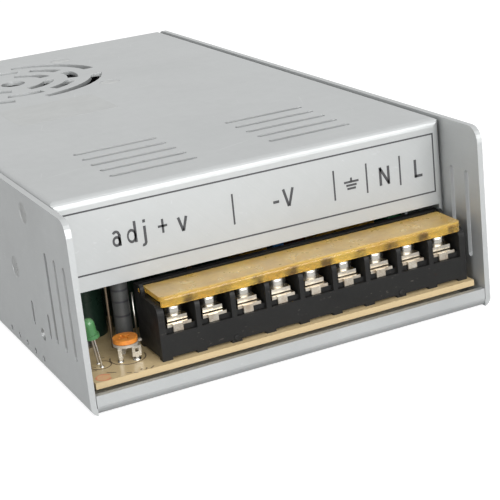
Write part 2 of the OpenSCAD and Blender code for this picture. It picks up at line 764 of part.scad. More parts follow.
// One pitched blade: a bowed strip cut to the hub and tip circles
module fan_blade(tip_r, h) {
    pitch_angle = 38;
    bow_r = 14;
    root_r = fan_hub_r - 1.5;
    intersection() {
        translate([root_r, 0, h / 2]) rotate([pitch_angle, 0, 0]) rotate([0, 90, 0])
            linear_extrude(tip_r - root_r + 3)
                polygon(concat(arc(-bow_r, 0, bow_r + 0.6, -36, 36, 8), arc(-bow_r, 0, bow_r - 0.6, 36, -36, 8)));
        difference() {
            cylinder(h = h, r = tip_r, $fn = 96);
            translate([0, 0, -1]) cylinder(h = h + 2, r = root_r);
        }
    }
}

module fan_screws() {
    color("#a9adae") from_front() for (x = [-1, 1], y = [-1, 1])
        translate([fan_x + x * fan_hole_pitch / 2, fan_y + y * fan_hole_pitch / 2, case_h - fan_head_sink])
            rotate([0, 90, 0]) countersunk_screw(fan_screw_r, fan_screw_r + fan_head_rim, fan_head_h, fan_screw_l);
}

module fan_header() {
    color("#efe9d8") from_front() translate([header_at[0], header_at[1], board_z]) {
        moulded_box(7.5, 5.8, 3.2, 0.5);
        translate([-3.75, 1.9, 3]) cube([7.5, 1, 3.6]);
        for (x = [-1.25, 1.25])
            leg(x, 0, 6.6, 0.32);
    }
}

// ---------- Magnetics ----------

tr_leg = 14;
tr_depth = 15;
tr_z0 = 2.2;
tr_h = 35;
tr_yoke = 6.4;
tr_window = (transformer_w - tr_leg) / 2 - tr_leg / 2;

module transformer_core() {
    color("#3b3a3d") from_front() translate([transformer_at[0], transformer_at[1], board_z + tr_z0]) difference() {
        translate([-transformer_w / 2, -tr_depth / 2, 0]) cube([transformer_w, tr_depth, tr_h]);
        for (side = [-1, 1])
            translate([side * (tr_leg / 2 + tr_window / 2) - tr_window / 2, -tr_depth, tr_yoke])
                cube([tr_window, 2 * tr_depth, tr_h - 2 * tr_yoke]);
    }
}

module transformer_coil() {
    coil_w = tr_leg + 2 * tr_window - 0.6;
    coil_d = tr_depth + 15;
    coil_z0 = tr_z0 + tr_yoke + 0.2;
    coil_h = tr_h - 2 * tr_yoke - 0.4;
    color("#d8b83a") from_front() translate([transformer_at[0], transformer_at[1], board_z]) difference() {
        union() {
            translate([0, 0, coil_z0]) moulded_box(coil_w, coil_d, coil_h, 3);
            // Pin rails either side of the core
            for (side = [-1, 1])
                translate([-coil_w / 2, side * (tr_depth / 2 + 3.9) - 3.5, 0]) cube([coil_w, 7, coil_z0 + 1]);
        }
        translate([-tr_leg / 2 - 0.2, -tr_depth / 2 - 0.2, -1]) cube([tr_leg + 0.4, tr_depth + 0.4, tr_h + 4]);
    }
}

// Ring core lying flat, corners eased
module ring_core(outer_r, inner_r, h) {
    e = 0.8;
    rotate_extrude() polygon([
        [inner_r + e, 0], [outer_r - e, 0], [outer_r, e], [outer_r, h - e],
        [outer_r - e, h], [inner_r + e, h], [inner_r, h - e], [inner_r, e]
    ]);
}

// Wire wound round a ring core through some angle, as one sleeve of the wire's thickness
module ring_winding(outer_r, inner_r, h, wire, angle) {
    g = 0.15;
    rotate_extrude(angle = angle) difference() {
        translate([inner_r - g - wire, -g - wire]) square([outer_r - inner_r + 2 * (g + wire), h + 2 * (g + wire)]);
        translate([inner_r - g, -g]) square([outer_r - inner_r + 2 * g, h + 2 * g]);
    }
}

inductor_h = 13;
inductor_wire = 1.6;
inductor_z = 2.6;
choke_r = 11;
choke_inner_r = 6;
choke_h = 9;
choke_wire = 1.2;
choke_z = 3;

module inductor_core() {
    color("#d9c95a") from_front() translate([inductor_at[0], inductor_at[1], board_z + inductor_z])
        ring_core(inductor_d / 2, inductor_d / 2 - 6.5, inductor_h);
}

module inductor_winding() {
    color("#b5652b") from_front() translate([inductor_at[0], inductor_at[1], board_z + inductor_z]) {
        rotate(-70) ring_winding(inductor_d / 2, inductor_d / 2 - 6.5, inductor_h, inductor_wire, 320);
        for (a = [-66, -114])
            rotate(a) leg_down(inductor_d / 2 + inductor_wire / 2, inductor_z);
    }
}

module choke_core() {
    color("#2f5d3a") from_front() translate([choke_at[0], choke_at[1], board_z + choke_z])
        ring_core(choke_r, choke_inner_r, choke_h);
}

module choke_winding() {
    color("#b06a30") from_front() translate([choke_at[0], choke_at[1], board_z + choke_z]) for (turn = [0, 180]) {
        rotate(turn + 15) ring_winding(choke_r, choke_inner_r, choke_h, choke_wire, 150);
        for (a = [turn + 22, turn + 158])
            rotate(a) leg_down(choke_r + choke_wire / 2, choke_z);
    }
}

// Wire end from a winding's outer face down to the board, `drop` below
module leg_down(r, drop) {
    translate([r, 0, -drop]) cylinder(h = drop + 1, r = 0.6, $fn = 16);
}

// ---------- Capacitors ----------

module bulk_capacitors() {
    color("#1c2a55") from_front() for (p = bulk_caps_at)
        translate([p[0], p[1], board_z]) can(bulk_d, bulk_h, 1.2);
}

module output_capacitors() {
    color("#20302a") from_front() for (p = output_caps_at)
        translate([p[0], p[1], board_z]) can(output_cap_d, output_cap_h, 0.8);
}

module small_capacitors() {
    color("#22242b") from_front() for (p = small_caps_at)
        translate([p[0], p[1], board_z]) can(8, 12, 0.6);
}

module film_capacitors() {
    color("#d8b020") from_front() for (p = film_caps_at)
        translate([p[0], p[1], board_z]) rotate(p[2]) moulded_box(18, 8.5, 15);
}

module disc_capacitors() {
    r = 4.5;
    color("#2f6fb5") from_front() for (p = disc_caps_at)
        translate([p[0], p[1], board_z]) {
            translate([-1.7, 0, r + 2]) rotate([0, 90, 0]) cylinder(h = 3.4, r = r);
            for (y = [-2.5, 2.5])
                leg(0, y, 4);
        }
}

// ---------- Heat bars and the devices on them ----------

module heat_bar(side) {
    from_front() difference() {
        translate([side > 0 ? bar_x : -inner_w, bar_y0, bar_z0]) cube([bar_t, bar_l, bar_h]);
        for (y = bar_screw_y)
            translate([side * (bar_x + bar_t / 2), y, bar_screw_z]) rotate([0, 90, 0])
                cylinder(h = bar_t + 2, r = m3_r + fit, center = true);
    }
}

module left_heat_bar() {
    color("#9aa0a3") heat_bar(-1);
}

module right_heat_bar() {
    color("#9aa0a3") heat_bar(1);
}

// Flat power device standing against a heat bar, leads down to the board
module power_device(side, y, w, h, t, z0, leads, lead_pitch) {
    from_front() translate([side * bar_x, y, board_z]) mirror([side > 0 ? 0 : 1, 0, 0]) {
        translate([-t, -w / 2, z0]) cube([t, w, h]);
        for (i = [0:leads - 1])
            translate([-t / 2 - 0.35, (i - (leads - 1) / 2) * lead_pitch - 0.6, 0]) cube([0.7, 1.2, z0 + 0.1]);
    }
}

device_y = [for (i = [0:2]) bar_y0 + 11 + 19 * i];

module output_rectifiers() {
    color("#232323") for (i = [0:2])
        power_device(-1, device_y[i], 15.8, 21, device_t, 5, 3, 5.45);
}

module power_transistors() {
    color("#232323") for (i = [1:2])
        power_device(1, device_y[i] + 1, 15.8, 21, device_t, 5, 3, 5.45);
}

module bridge_rectifier() {
    color("#1d1d1f") power_device(1, device_y[0], 22, 18, 3.6, 5, 4, 5.08);
}

// ---------- Input parts ----------

fuse_r = 2.6;
fuse_l = 20;
fuse_cap_l = 5;
fuse_z = board_z + 4.2;

module fuse() {
    color("#cfd8da") from_front() translate([fuse_at[0], fuse_at[1], fuse_z]) rotate([0, 90, 0]) {
        cylinder(h = fuse_l - 0.5, r = fuse_r - 0.2, center = true);
        for (side = [-1, 1])
            translate([0, 0, side * (fuse_l - fuse_cap_l) / 2]) cylinder(h = fuse_cap_l, r = fuse_r, center = true);
    }
}

module fuse_clips() {
    clip_w = 4;
    color("#cfc48a") from_front() for (side = [-1, 1])
        translate([fuse_at[0] + side * (fuse_l - fuse_cap_l) / 2, fuse_at[1], board_z]) difference() {
            translate([-clip_w / 2, -fuse_r - 0.7, 0]) cube([clip_w, 2 * fuse_r + 1.4, fuse_z - board_z + 2]);
            translate([0, 0, fuse_z - board_z]) rotate([0, 90, 0]) cylinder(h = clip_w + 2, r = fuse_r + fit, center = true);
            translate([-clip_w, -fuse_r + 0.8, fuse_z - board_z]) cube([2 * clip_w, 2 * fuse_r - 1.6, 5]);
        }
}

module thermistor() {
    r = 6.5;
    color("#2d5c3c") from_front() translate([thermistor_at[0], thermistor_at[1], board_z]) {
        translate([-2.2, 0, r + 2.5]) rotate([0, 90, 0]) cylinder(h = 4.4, r = r);
        for (y = [-3.75, 3.75])
            leg(0, y, 6, 0.4);
    }
}

// ---------- Control parts ----------

module drive_transformer() {
    color("#c9a93a") from_front() translate([drive_at[0], drive_at[1], board_z]) {
        translate([0, 0, 1]) moulded_box(16, 14, 13, 1.5);
        for (side = [-1, 1])
            translate([-8, side * 7.4 - 1.4, 0]) cube([16, 2.8, 3.4]);
        translate([-10, -2.4, 1]) cube([20, 4.8, 14]);
    }
}

module control_chip() {
    color("#1f1f21") from_front() translate([chip_at[0], chip_at[1], board_z]) {
        translate([0, 0, 0.6]) moulded_box(19.5, 6.4, 3.3, 0.4);
        for (i = [0:7], side = [-1, 1])
            translate([(i - 3.5) * lead_pitch - 0.5, side * 3.6 - 0.5, 0]) cube([1, 1, 2.4]);
    }
}

module small_resistors() {
    half_l = 3.2;
    color("#c9a878") from_front() for (p = resistors_at)
        translate([p[0], p[1], board_z]) {
            translate([0, 0, 1.6]) rotate([90, 0, 0]) cylinder(h = 2 * half_l, r = 1.2, center = true, $fn = 32);
            for (side = [-1, 1]) {
                translate([0, side * (half_l + 0.8), 1.6]) rotate([90, 0, 0])
                    cylinder(h = 2.2, r = 0.3, center = true, $fn = 16);
                translate([0, side * (half_l + 1.6), 0]) cylinder(h = 1.9, r = 0.3, $fn = 16);
            }
        }
}

chassis();
top_cover();
side_screws();
insulation_sheet();
circuit_board();
board_spacers();
board_screws();
terminal_block();
terminal_bases();
terminal_cover();
clamp(0);  // clamp_1
clamp(1);  // clamp_2
clamp(2);  // clamp_3
clamp(3);  // clamp_4
clamp(4);  // clamp_5
clamp(5);  // clamp_6
clamp(6);  // clamp_7
clamp(7);  // clamp_8
clamp(8);  // clamp_9
terminal_screw(0);  // terminal_screw_1
terminal_screw(1);  // terminal_screw_2
terminal_screw(2);  // terminal_screw_3
terminal_screw(3);  // terminal_screw_4
terminal_screw(4);  // terminal_screw_5
terminal_screw(5);  // terminal_screw_6
terminal_screw(6);  // terminal_screw_7
terminal_screw(7);  // terminal_screw_8
terminal_screw(8);  // terminal_screw_9
led();
led_leads();
trimmer_frame();
trimmer_legs();
trimmer_rotor();
upright_resistor();
fan_frame();
fan_rotor();
fan_screws();
fan_header();
transformer_core();
transformer_coil();
choke_core();
choke_winding();
inductor_core();
inductor_winding();
bulk_capacitors();
output_capacitors();
left_heat_bar();
right_heat_bar();
output_rectifiers();
power_transistors();
bridge_rectifier();
fuse();
fuse_clips();
thermistor();
film_capacitors();
disc_capacitors();
drive_transformer();
control_chip();
small_capacitors();
small_resistors();
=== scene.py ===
"""Looks of the vented-case power supply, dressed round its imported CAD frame.

Lengths are in metres in the row frame: +Z up, origin under the middle of the case, terminals towards -Y. Each
sub-assembly is a class that holds its own sizes, dresses its CAD nodes and builds what the CAD leaves out.
"""

import logging
import math
from dataclasses import dataclass, field, replace
from enum import Enum

import bmesh
import bpy
from mathutils import Matrix, Vector


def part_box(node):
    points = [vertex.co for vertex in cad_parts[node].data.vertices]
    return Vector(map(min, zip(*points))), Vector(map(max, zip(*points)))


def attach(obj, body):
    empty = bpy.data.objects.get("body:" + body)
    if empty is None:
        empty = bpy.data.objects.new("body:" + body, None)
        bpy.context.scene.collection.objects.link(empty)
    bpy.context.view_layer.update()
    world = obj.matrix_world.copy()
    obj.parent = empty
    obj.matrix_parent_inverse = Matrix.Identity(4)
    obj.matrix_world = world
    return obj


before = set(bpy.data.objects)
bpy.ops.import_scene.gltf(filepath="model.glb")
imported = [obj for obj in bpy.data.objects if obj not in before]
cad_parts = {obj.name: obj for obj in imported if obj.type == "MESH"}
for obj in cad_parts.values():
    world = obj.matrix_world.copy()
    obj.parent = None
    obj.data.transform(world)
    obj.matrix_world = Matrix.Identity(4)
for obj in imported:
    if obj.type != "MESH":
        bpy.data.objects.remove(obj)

log = logging.getLogger("power_supply")

MM = 0.001
CASE_BODY = "case"
Socket = bpy.types.NodeSocket
Node = bpy.types.Node
Tree = bpy.types.NodeTree
Material = bpy.types.Material
Verts = list[bmesh.types.BMVert]
Colour = tuple[float, float, float]
Point = tuple[float, float]


# ---------------------------------------------------------------- shader building


class Sheet:
    """A node tree with short ways to add and join nodes."""

    def __init__(self, tree: Tree) -> None:
        """Args: tree: the tree of a material or of a group."""
        self.tree = tree

    def add(self, kind: str, inputs: dict | None = None, **settings: object) -> Node:
        """Adds a node.

        Args:
            kind: the node's type name.
            inputs: socket name or number to a value or to another node's output.
            settings: attributes of the node, such as operation.

        Returns:
            The new node.
        """
        node = self.tree.nodes.new(kind)
        for key, value in settings.items():
            setattr(node, key, value)
        for key, value in (inputs or {}).items():
            if isinstance(value, Socket):
                self.tree.links.new(value, node.inputs[key])
            else:
                node.inputs[key].default_value = value
        return node

    def math(self, operation: str, a: object, b: object = 0.0, clamp: bool = False) -> Socket:
        """One Math node. Returns: its output socket."""
        return self.add("ShaderNodeMath", {0: a, 1: b}, operation=operation, use_clamp=clamp).outputs[0]

    def spread(
        self, value: object, low: float, high: float, to_low: float = 0.0, to_high: float = 1.0
    ) -> Socket:
        """A clamped Map Range from low..high to to_low..to_high. Returns: its output socket."""
        return self.add("ShaderNodeMapRange", {0: value, 1: low, 2: high, 3: to_low, 4: to_high}).outputs[0]

    def mix(self, factor: object, a: object, b: object) -> Socket:
        """Mixes two colours. Returns: the colour output."""
        node = self.add("ShaderNodeMix", data_type="RGBA")
        for index, value in ((0, factor), (6, a), (7, b)):
            if isinstance(value, Socket):
                self.tree.links.new(value, node.inputs[index])
            else:
                node.inputs[index].default_value = value if index == 0 else (*value, 1.0)[:4]
        return node.outputs[2]

    def up(self) -> Socket:
        """Returns: how far a face points up in the piece's own frame, -1 to 1."""
        normal = self.add("ShaderNodeTexCoord").outputs["Normal"]
        return self.add("ShaderNodeSeparateXYZ", {0: normal}).outputs[2]

    def noise(self, vector: object, scale: object, detail: float = 3.0, rough: float = 0.55) -> Socket:
        """Noise texture on a vector. Returns: its factor output."""
        inputs = {"Vector": vector, "Scale": scale, "Detail": detail, "Roughness": rough}
        return self.add("ShaderNodeTexNoise", inputs).outputs["Fac"]


@dataclass(frozen=True)
class GroupSocket:
    """One socket of a shader group: its name, its kind and its starting value."""

    name: str
    kind: str = "NodeSocketFloat"
    value: float | tuple[float, ...] | None = None


class Effects:
    """Shader groups that several finishes share, each built once."""

    def __init__(self) -> None:
        """Builds every group."""
        self.grain = self._grain()
        self.mottle = self._mottle()
        self.stipple = self._stipple()
        self.scuffs = self._scuffs()
        self.laminate = self._laminate()
        self.bands = self._bands()
        self.settled = self._settled()
        self.specks = self._specks()

    def _group(
        self, name: str, ins: list[GroupSocket], outs: list[GroupSocket]
    ) -> tuple[Tree, Sheet, Node, Node]:
        """Makes an empty group with its sockets.

        Args:
            name: the group's name.
            ins: inputs, after a Vector input that every group has.
            outs: outputs.

        Returns:
            The tree, its Sheet, and the input and output nodes.
        """
        tree = bpy.data.node_groups.new(name, "ShaderNodeTree")
        for socket in [GroupSocket("Vector", "NodeSocketVector"), *ins]:
            made = tree.interface.new_socket(socket.name, in_out="INPUT", socket_type=socket.kind)
            if socket.value is not None:
                made.default_value = socket.value
        for socket in outs:
            tree.interface.new_socket(socket.name, in_out="OUTPUT", socket_type=socket.kind)
        sheet = Sheet(tree)
        return tree, sheet, sheet.add("NodeGroupInput"), sheet.add("NodeGroupOutput")

    def _grain(self) -> Tree:
        """Fine lines along one direction, as rolled sheet has. Returns: the group."""
        ins = [
            GroupSocket("Across", value=2600.0), GroupSocket("Along", value=60.0),
            GroupSocket("Depth", value=1.0),
        ]
        tree, s, gin, gout = self._group("rolled grain", ins, [GroupSocket("Lines"), GroupSocket("Clouds")])
        xyz = s.add("ShaderNodeSeparateXYZ", {0: gin.outputs["Vector"]})
        across = s.math("MULTIPLY", s.math("ADD", xyz.outputs[0], xyz.outputs[2]), gin.outputs["Across"])
        along = s.math("MULTIPLY", xyz.outputs[1], gin.outputs["Along"])
        stretched = s.add("ShaderNodeCombineXYZ", {0: across, 1: along, 2: 0.0}).outputs[0]
        lines = s.noise(stretched, 1.0, 2.0, 0.6)
        s.tree.links.new(s.math("MULTIPLY", lines, gin.outputs["Depth"]), gout.inputs["Lines"])
        s.tree.links.new(s.noise(gin.outputs["Vector"], 34.0, 4.0, 0.6), gout.inputs["Clouds"])
        return tree

    def _mottle(self) -> Tree:
        """Uneven colour in two sizes between two shades. Returns: the group."""
        ins = [
            GroupSocket("Scale", value=120.0), GroupSocket("Amount", value=0.5),
            GroupSocket("Light", "NodeSocketColor"), GroupSocket("Dark", "NodeSocketColor"),
        ]
        tree, s, gin, gout = self._group(
            "uneven colour", ins, [GroupSocket("Colour", "NodeSocketColor"), GroupSocket("Mask")]
        )
        broad = s.noise(gin.outputs["Vector"], gin.outputs["Scale"], 3.0)
        fine = s.noise(gin.outputs["Vector"], s.math("MULTIPLY", gin.outputs["Scale"], 9.0), 2.0)
        both = s.math("ADD", s.math("MULTIPLY", broad, 0.7), s.math("MULTIPLY", fine, 0.3))
        mask = s.math("MULTIPLY", s.spread(both, 0.36, 0.64), gin.outputs["Amount"])
        s.tree.links.new(s.mix(mask, gin.outputs["Light"], gin.outputs["Dark"]), gout.inputs["Colour"])
        s.tree.links.new(mask, gout.inputs["Mask"])
        return tree

    def _stipple(self) -> Tree:
        """The fine skin of a moulding, as a height. Returns: the group."""
        ins = [GroupSocket("Scale", value=4200.0), GroupSocket("Flow", value=240.0)]
        tree, s, gin, gout = self._group("moulded skin", ins, [GroupSocket("Height"), GroupSocket("Dull")])
        cells = s.add(
            "ShaderNodeTexVoronoi", {"Vector": gin.outputs["Vector"], "Scale": gin.outputs["Scale"]}
        ).outputs[0]
        flow = s.noise(gin.outputs["Vector"], gin.outputs["Flow"], 2.0)
        s.tree.links.new(s.math("ADD", s.math("MULTIPLY", cells, 0.35), flow), gout.inputs["Height"])
        s.tree.links.new(s.spread(flow, 0.3, 0.7), gout.inputs["Dull"])
        return tree

    def _scuffs(self) -> Tree:
        """Sparse hairline scratches and rubbed patches, as masks. Returns: the group."""
        ins = [GroupSocket("Scale", value=90.0), GroupSocket("Amount", value=0.5)]
        tree, s, gin, gout = self._group("handling marks", ins, [GroupSocket("Scratch"), GroupSocket("Rub")])
        scratch = None
        for turn in (0.35, 1.25, 2.4):
            turned = s.add(
                "ShaderNodeVectorRotate", {"Vector": gin.outputs["Vector"], "Angle": turn},
                rotation_type="Z_AXIS",
            ).outputs[0]
            long = s.add(
                "ShaderNodeVectorMath", {0: turned, 1: (1.0, 0.035, 1.0)}, operation="MULTIPLY"
            ).outputs[0]
            lines = s.spread(s.noise(long, s.math("MULTIPLY", gin.outputs["Scale"], 12.0), 1.0), 0.735, 0.75)
            scratch = lines if scratch is None else s.math("MAXIMUM", scratch, lines)
        where = s.spread(s.noise(gin.outputs["Vector"], gin.outputs["Scale"], 2.0), 0.5, 0.62)
        s.tree.links.new(
            s.math("MULTIPLY", s.math("MULTIPLY", scratch, where), gin.outputs["Amount"]),
            gout.inputs["Scratch"],
        )
        rub = s.spread(
            s.noise(gin.outputs["Vector"], s.math("MULTIPLY", gin.outputs["Scale"], 0.45), 5.0, 0.7), 0.45, 0.75
        )
        s.tree.links.new(s.math("MULTIPLY", rub, gin.outputs["Amount"]), gout.inputs["Rub"])
        return tree

    def _laminate(self) -> Tree:
        """Woven glass under resin: two crossed sets of threads. Returns: the group."""
        ins = [GroupSocket("Threads", value=1500.0)]
        tree, s, gin, gout = self._group("laminate weave", ins, [GroupSocket("Weave"), GroupSocket("Resin")])
        xyz = s.add("ShaderNodeSeparateXYZ", {0: gin.outputs["Vector"]})
        waves = [
            s.math(
                "SINE", s.math("MULTIPLY", xyz.outputs[i], s.math("MULTIPLY", gin.outputs["Threads"], 6.2832))
            ) for i in (0, 1)
        ]
        s.tree.links.new(s.spread(s.math("MULTIPLY", waves[0], waves[1]), -1.0, 1.0), gout.inputs["Weave"])
        s.tree.links.new(s.noise(gin.outputs["Vector"], 55.0, 4.0, 0.6), gout.inputs["Resin"])
        return tree

    def _bands(self) -> Tree:
        """Rings of wire or tape stacked along the Z axis. Returns: the group."""
        ins = [GroupSocket("Pitch", value=0.0009)]
        tree, s, gin, gout = self._group("stacked turns", ins, [GroupSocket("Height"), GroupSocket("Groove")])
        xyz = s.add("ShaderNodeSeparateXYZ", {0: gin.outputs["Vector"]})
        turn = s.math("FRACT", s.math("DIVIDE", xyz.outputs[2], gin.outputs["Pitch"]))
        ridge = s.math("SINE", s.math("MULTIPLY", turn, math.pi))
        s.tree.links.new(ridge, gout.inputs["Height"])
        s.tree.links.new(s.spread(ridge, 0.25, 0.0), gout.inputs["Groove"])
        return tree

    def _settled(self) -> Tree:
        """Dust that lies on what faces up, thinner where it was touched. Returns: the group."""
        ins = [GroupSocket("Scale", value=140.0), GroupSocket("Amount", value=0.5)]
        tree, s, gin, gout = self._group("settled dust", ins, [GroupSocket("Mask")])
        up = s.up()
        patchy = s.spread(s.noise(gin.outputs["Vector"], gin.outputs["Scale"], 4.0, 0.65), 0.3, 0.7, 0.55, 1.0)
        level = s.math("MULTIPLY", s.spread(up, 0.55, 0.95), patchy)
        s.tree.links.new(s.math("MULTIPLY", level, gin.outputs["Amount"]), gout.inputs["Mask"])
        return tree

    def _specks(self) -> Tree:
        """Small pale smears and crumbs. Returns: the group."""
        ins = [GroupSocket("Scale", value=900.0), GroupSocket("Cover", value=0.5)]
        tree, s, gin, gout = self._group("specks", ins, [GroupSocket("Mask")])
        smear = s.add(
            "ShaderNodeVectorMath", {0: gin.outputs["Vector"], 1: (0.6, 1.0, 1.4)}, operation="MULTIPLY"
        ).outputs[0]
        crumbs = s.spread(s.noise(smear, gin.outputs["Scale"], 2.0, 0.7), 0.66, 0.74)
        where = s.spread(s.noise(gin.outputs["Vector"], 95.0, 2.0), 0.48, 0.62)
        s.tree.links.new(
            s.math("MULTIPLY", s.math("MULTIPLY", crumbs, where), gin.outputs["Cover"]), gout.inputs["Mask"]
        )
        return tree


@dataclass(frozen=True)
class Finish:
    """A surface: its colours, how it shines and the marks it carries."""

    name: str
    colour: Colour
    deep: Colour
    roughness: float = 0.5
    metallic: float = 0.0
    spread: float = 0.08
    scale: float = 120.0
    amount: float = 0.6
    bump: float = 0.08
    specular: float = 0.5
    dust: float = 0.0
    specks: float = 0.0
    dust_colour: Colour = (0.30, 0.27, 0.22)

    def soiled(self, sheet: Sheet, effects: Effects, place: Socket, colour: Socket) -> Socket:
        """Lays this finish's dust and specks over a colour. Returns: the colour output."""
        if self.dust > 0:
            lying = self.group(sheet, effects.settled, place, Amount=self.dust)
            colour = sheet.mix(lying.outputs["Mask"], colour, self.dust_colour)
        if self.specks > 0:
            crumbs = self.group(sheet, effects.specks, place, Cover=self.specks)
            colour = sheet.mix(crumbs.outputs["Mask"], colour, self.dust_colour)
        return colour

    def surface(self, effects: Effects) -> tuple[Material, Sheet, Node, Socket]:
        """Starts the material.

        Args:
            effects: the shared groups.

        Returns:
            The material, its Sheet, the Principled node and the object coordinates.
        """
        material = bpy.data.materials.new(self.name)
        material.use_nodes = True
        sheet = Sheet(material.node_tree)
        shader = material.node_tree.nodes["Principled BSDF"]
        shader.inputs["Metallic"].default_value = self.metallic
        shader.inputs["Specular IOR Level"].default_value = self.specular
        place = sheet.add("ShaderNodeTexCoord").outputs["Object"]
        return material, sheet, shader, place

    def group(self, sheet: Sheet, tree: Tree, place: Socket, **values: float | Colour) -> Node:
        """Places a shared group with this finish's own values. Returns: the group node."""
        node = sheet.add("ShaderNodeGroup", node_tree=tree)
        sheet.tree.links.new(place, node.inputs["Vector"])
        for key, value in values.items():
            node.inputs[key].default_value = (*value, 1.0) if isinstance(value, tuple) else value
        return node

    def tone(self, sheet: Sheet, effects: Effects, place: Socket) -> Node:
        """Places the uneven colour between this finish's two. Returns: the group node."""
        two = {"Light": self.colour, "Dark": self.deep}
        return self.group(sheet, effects.mottle, place, Scale=self.scale, Amount=self.amount, **two)

    def relief(self, sheet: Sheet, shader: Node, height: Socket, strength: float, depth: float) -> None:
        """Feeds a height to the shader's normal. Args: depth: the height's full swing in metres."""
        bump = sheet.add("ShaderNodeBump", {"Height": height, "Strength": strength, "Distance": depth})
        sheet.tree.links.new(bump.outputs[0], shader.inputs["Normal"])

    def material(self, effects: Effects) -> Material:
        """Builds the material: uneven colour, moulded skin and a varying shine. Returns: the material."""
        material, sheet, shader, place = self.surface(effects)
        colour = self.tone(sheet, effects, place)
        skin = self.group(sheet, effects.stipple, place, Scale=self.scale * 30, Flow=self.scale * 2)
        sheet.tree.links.new(
            self.soiled(sheet, effects, place, colour.outputs["Colour"]), shader.inputs["Base Color"]
        )
        rough = sheet.spread(
            skin.outputs["Dull"], 0.0, 1.0, self.roughness - self.spread, self.roughness + self.spread
        )
        sheet.tree.links.new(rough, shader.inputs["Roughness"])
        self.relief(sheet, shader, skin.outputs["Height"], self.bump, 0.0002)
        return material


@dataclass(frozen=True)
class SheetMetal(Finish):
    """Rolled aluminium or steel sheet with its grain, clouds and handling marks."""

    grain: float = 0.25
    wear: float = 0.35

    def material(self, effects: Effects) -> Material:
        """Builds the material. Returns: the material."""
        material, sheet, shader, place = self.surface(effects)
        grain = self.group(sheet, effects.grain, place)
        marks = self.group(sheet, effects.scuffs, place, Amount=self.wear)
        colour = self.tone(sheet, effects, place)
        lined = sheet.math("MULTIPLY", sheet.spread(grain.outputs["Lines"], 0.3, 0.7), self.grain)
        tinted = sheet.mix(lined, colour.outputs["Colour"], self.deep)
        bright = tuple(min(1.0, c * 1.18) for c in self.colour)
        sheet.tree.links.new(sheet.mix(marks.outputs["Scratch"], tinted, bright), shader.inputs["Base Color"])
        low, high = self.roughness - self.spread, self.roughness + self.spread
        clouds = sheet.spread(grain.outputs["Clouds"], 0.3, 0.7, low, high)
        rubbed = sheet.math("SUBTRACT", clouds, sheet.math("MULTIPLY", marks.outputs["Rub"], 0.1))
        sheet.tree.links.new(sheet.math("MAXIMUM", rubbed, 0.05), shader.inputs["Roughness"])
        height = sheet.math(
            "SUBTRACT", grain.outputs["Lines"], sheet.math("MULTIPLY", marks.outputs["Scratch"], 0.8)
        )
        self.relief(sheet, shader, height, self.bump, 0.00005)
        return material


@dataclass(frozen=True)
class Laminate(Finish):
    """Circuit board: glass weave under a tinted resin, with its upright cut edges painted darker, partly the
    laminate's own darker edge and partly painted shade.
    """

    cut_edge_and_shade_colour: Colour = (0.44, 0.34, 0.19)

    def material(self, effects: Effects) -> Material:
        """Builds the material. Returns: the material."""
        material, sheet, shader, place = self.surface(effects)
        weave = self.group(sheet, effects.laminate, place)
        colour = self.tone(sheet, effects, place)
        threads = sheet.math("MULTIPLY", weave.outputs["Weave"], 0.22)
        woven = sheet.mix(threads, colour.outputs["Colour"], self.deep)
        # Painted shade, partly the laminate's own darker cut edge: faces that do not point up or down take a
        # darker brown.
        facing = sheet.up()
        woven = sheet.mix(sheet.math("LESS_THAN", sheet.math("ABSOLUTE", facing), 0.5), woven, self.cut_edge_and_shade_colour)
        sheet.tree.links.new(self.soiled(sheet, effects, place, woven), shader.inputs["Base Color"])
        low, high = self.roughness - self.spread, self.roughness + self.spread
        sheet.tree.links.new(
            sheet.spread(weave.outputs["Resin"], 0.3, 0.7, low, high), shader.inputs["Roughness"]
        )
        self.relief(sheet, shader, weave.outputs["Weave"], self.bump, 0.00004)
        shader.inputs["Coat Weight"].default_value = 0.25
        shader.inputs["Coat Roughness"].default_value = 0.12
        return material


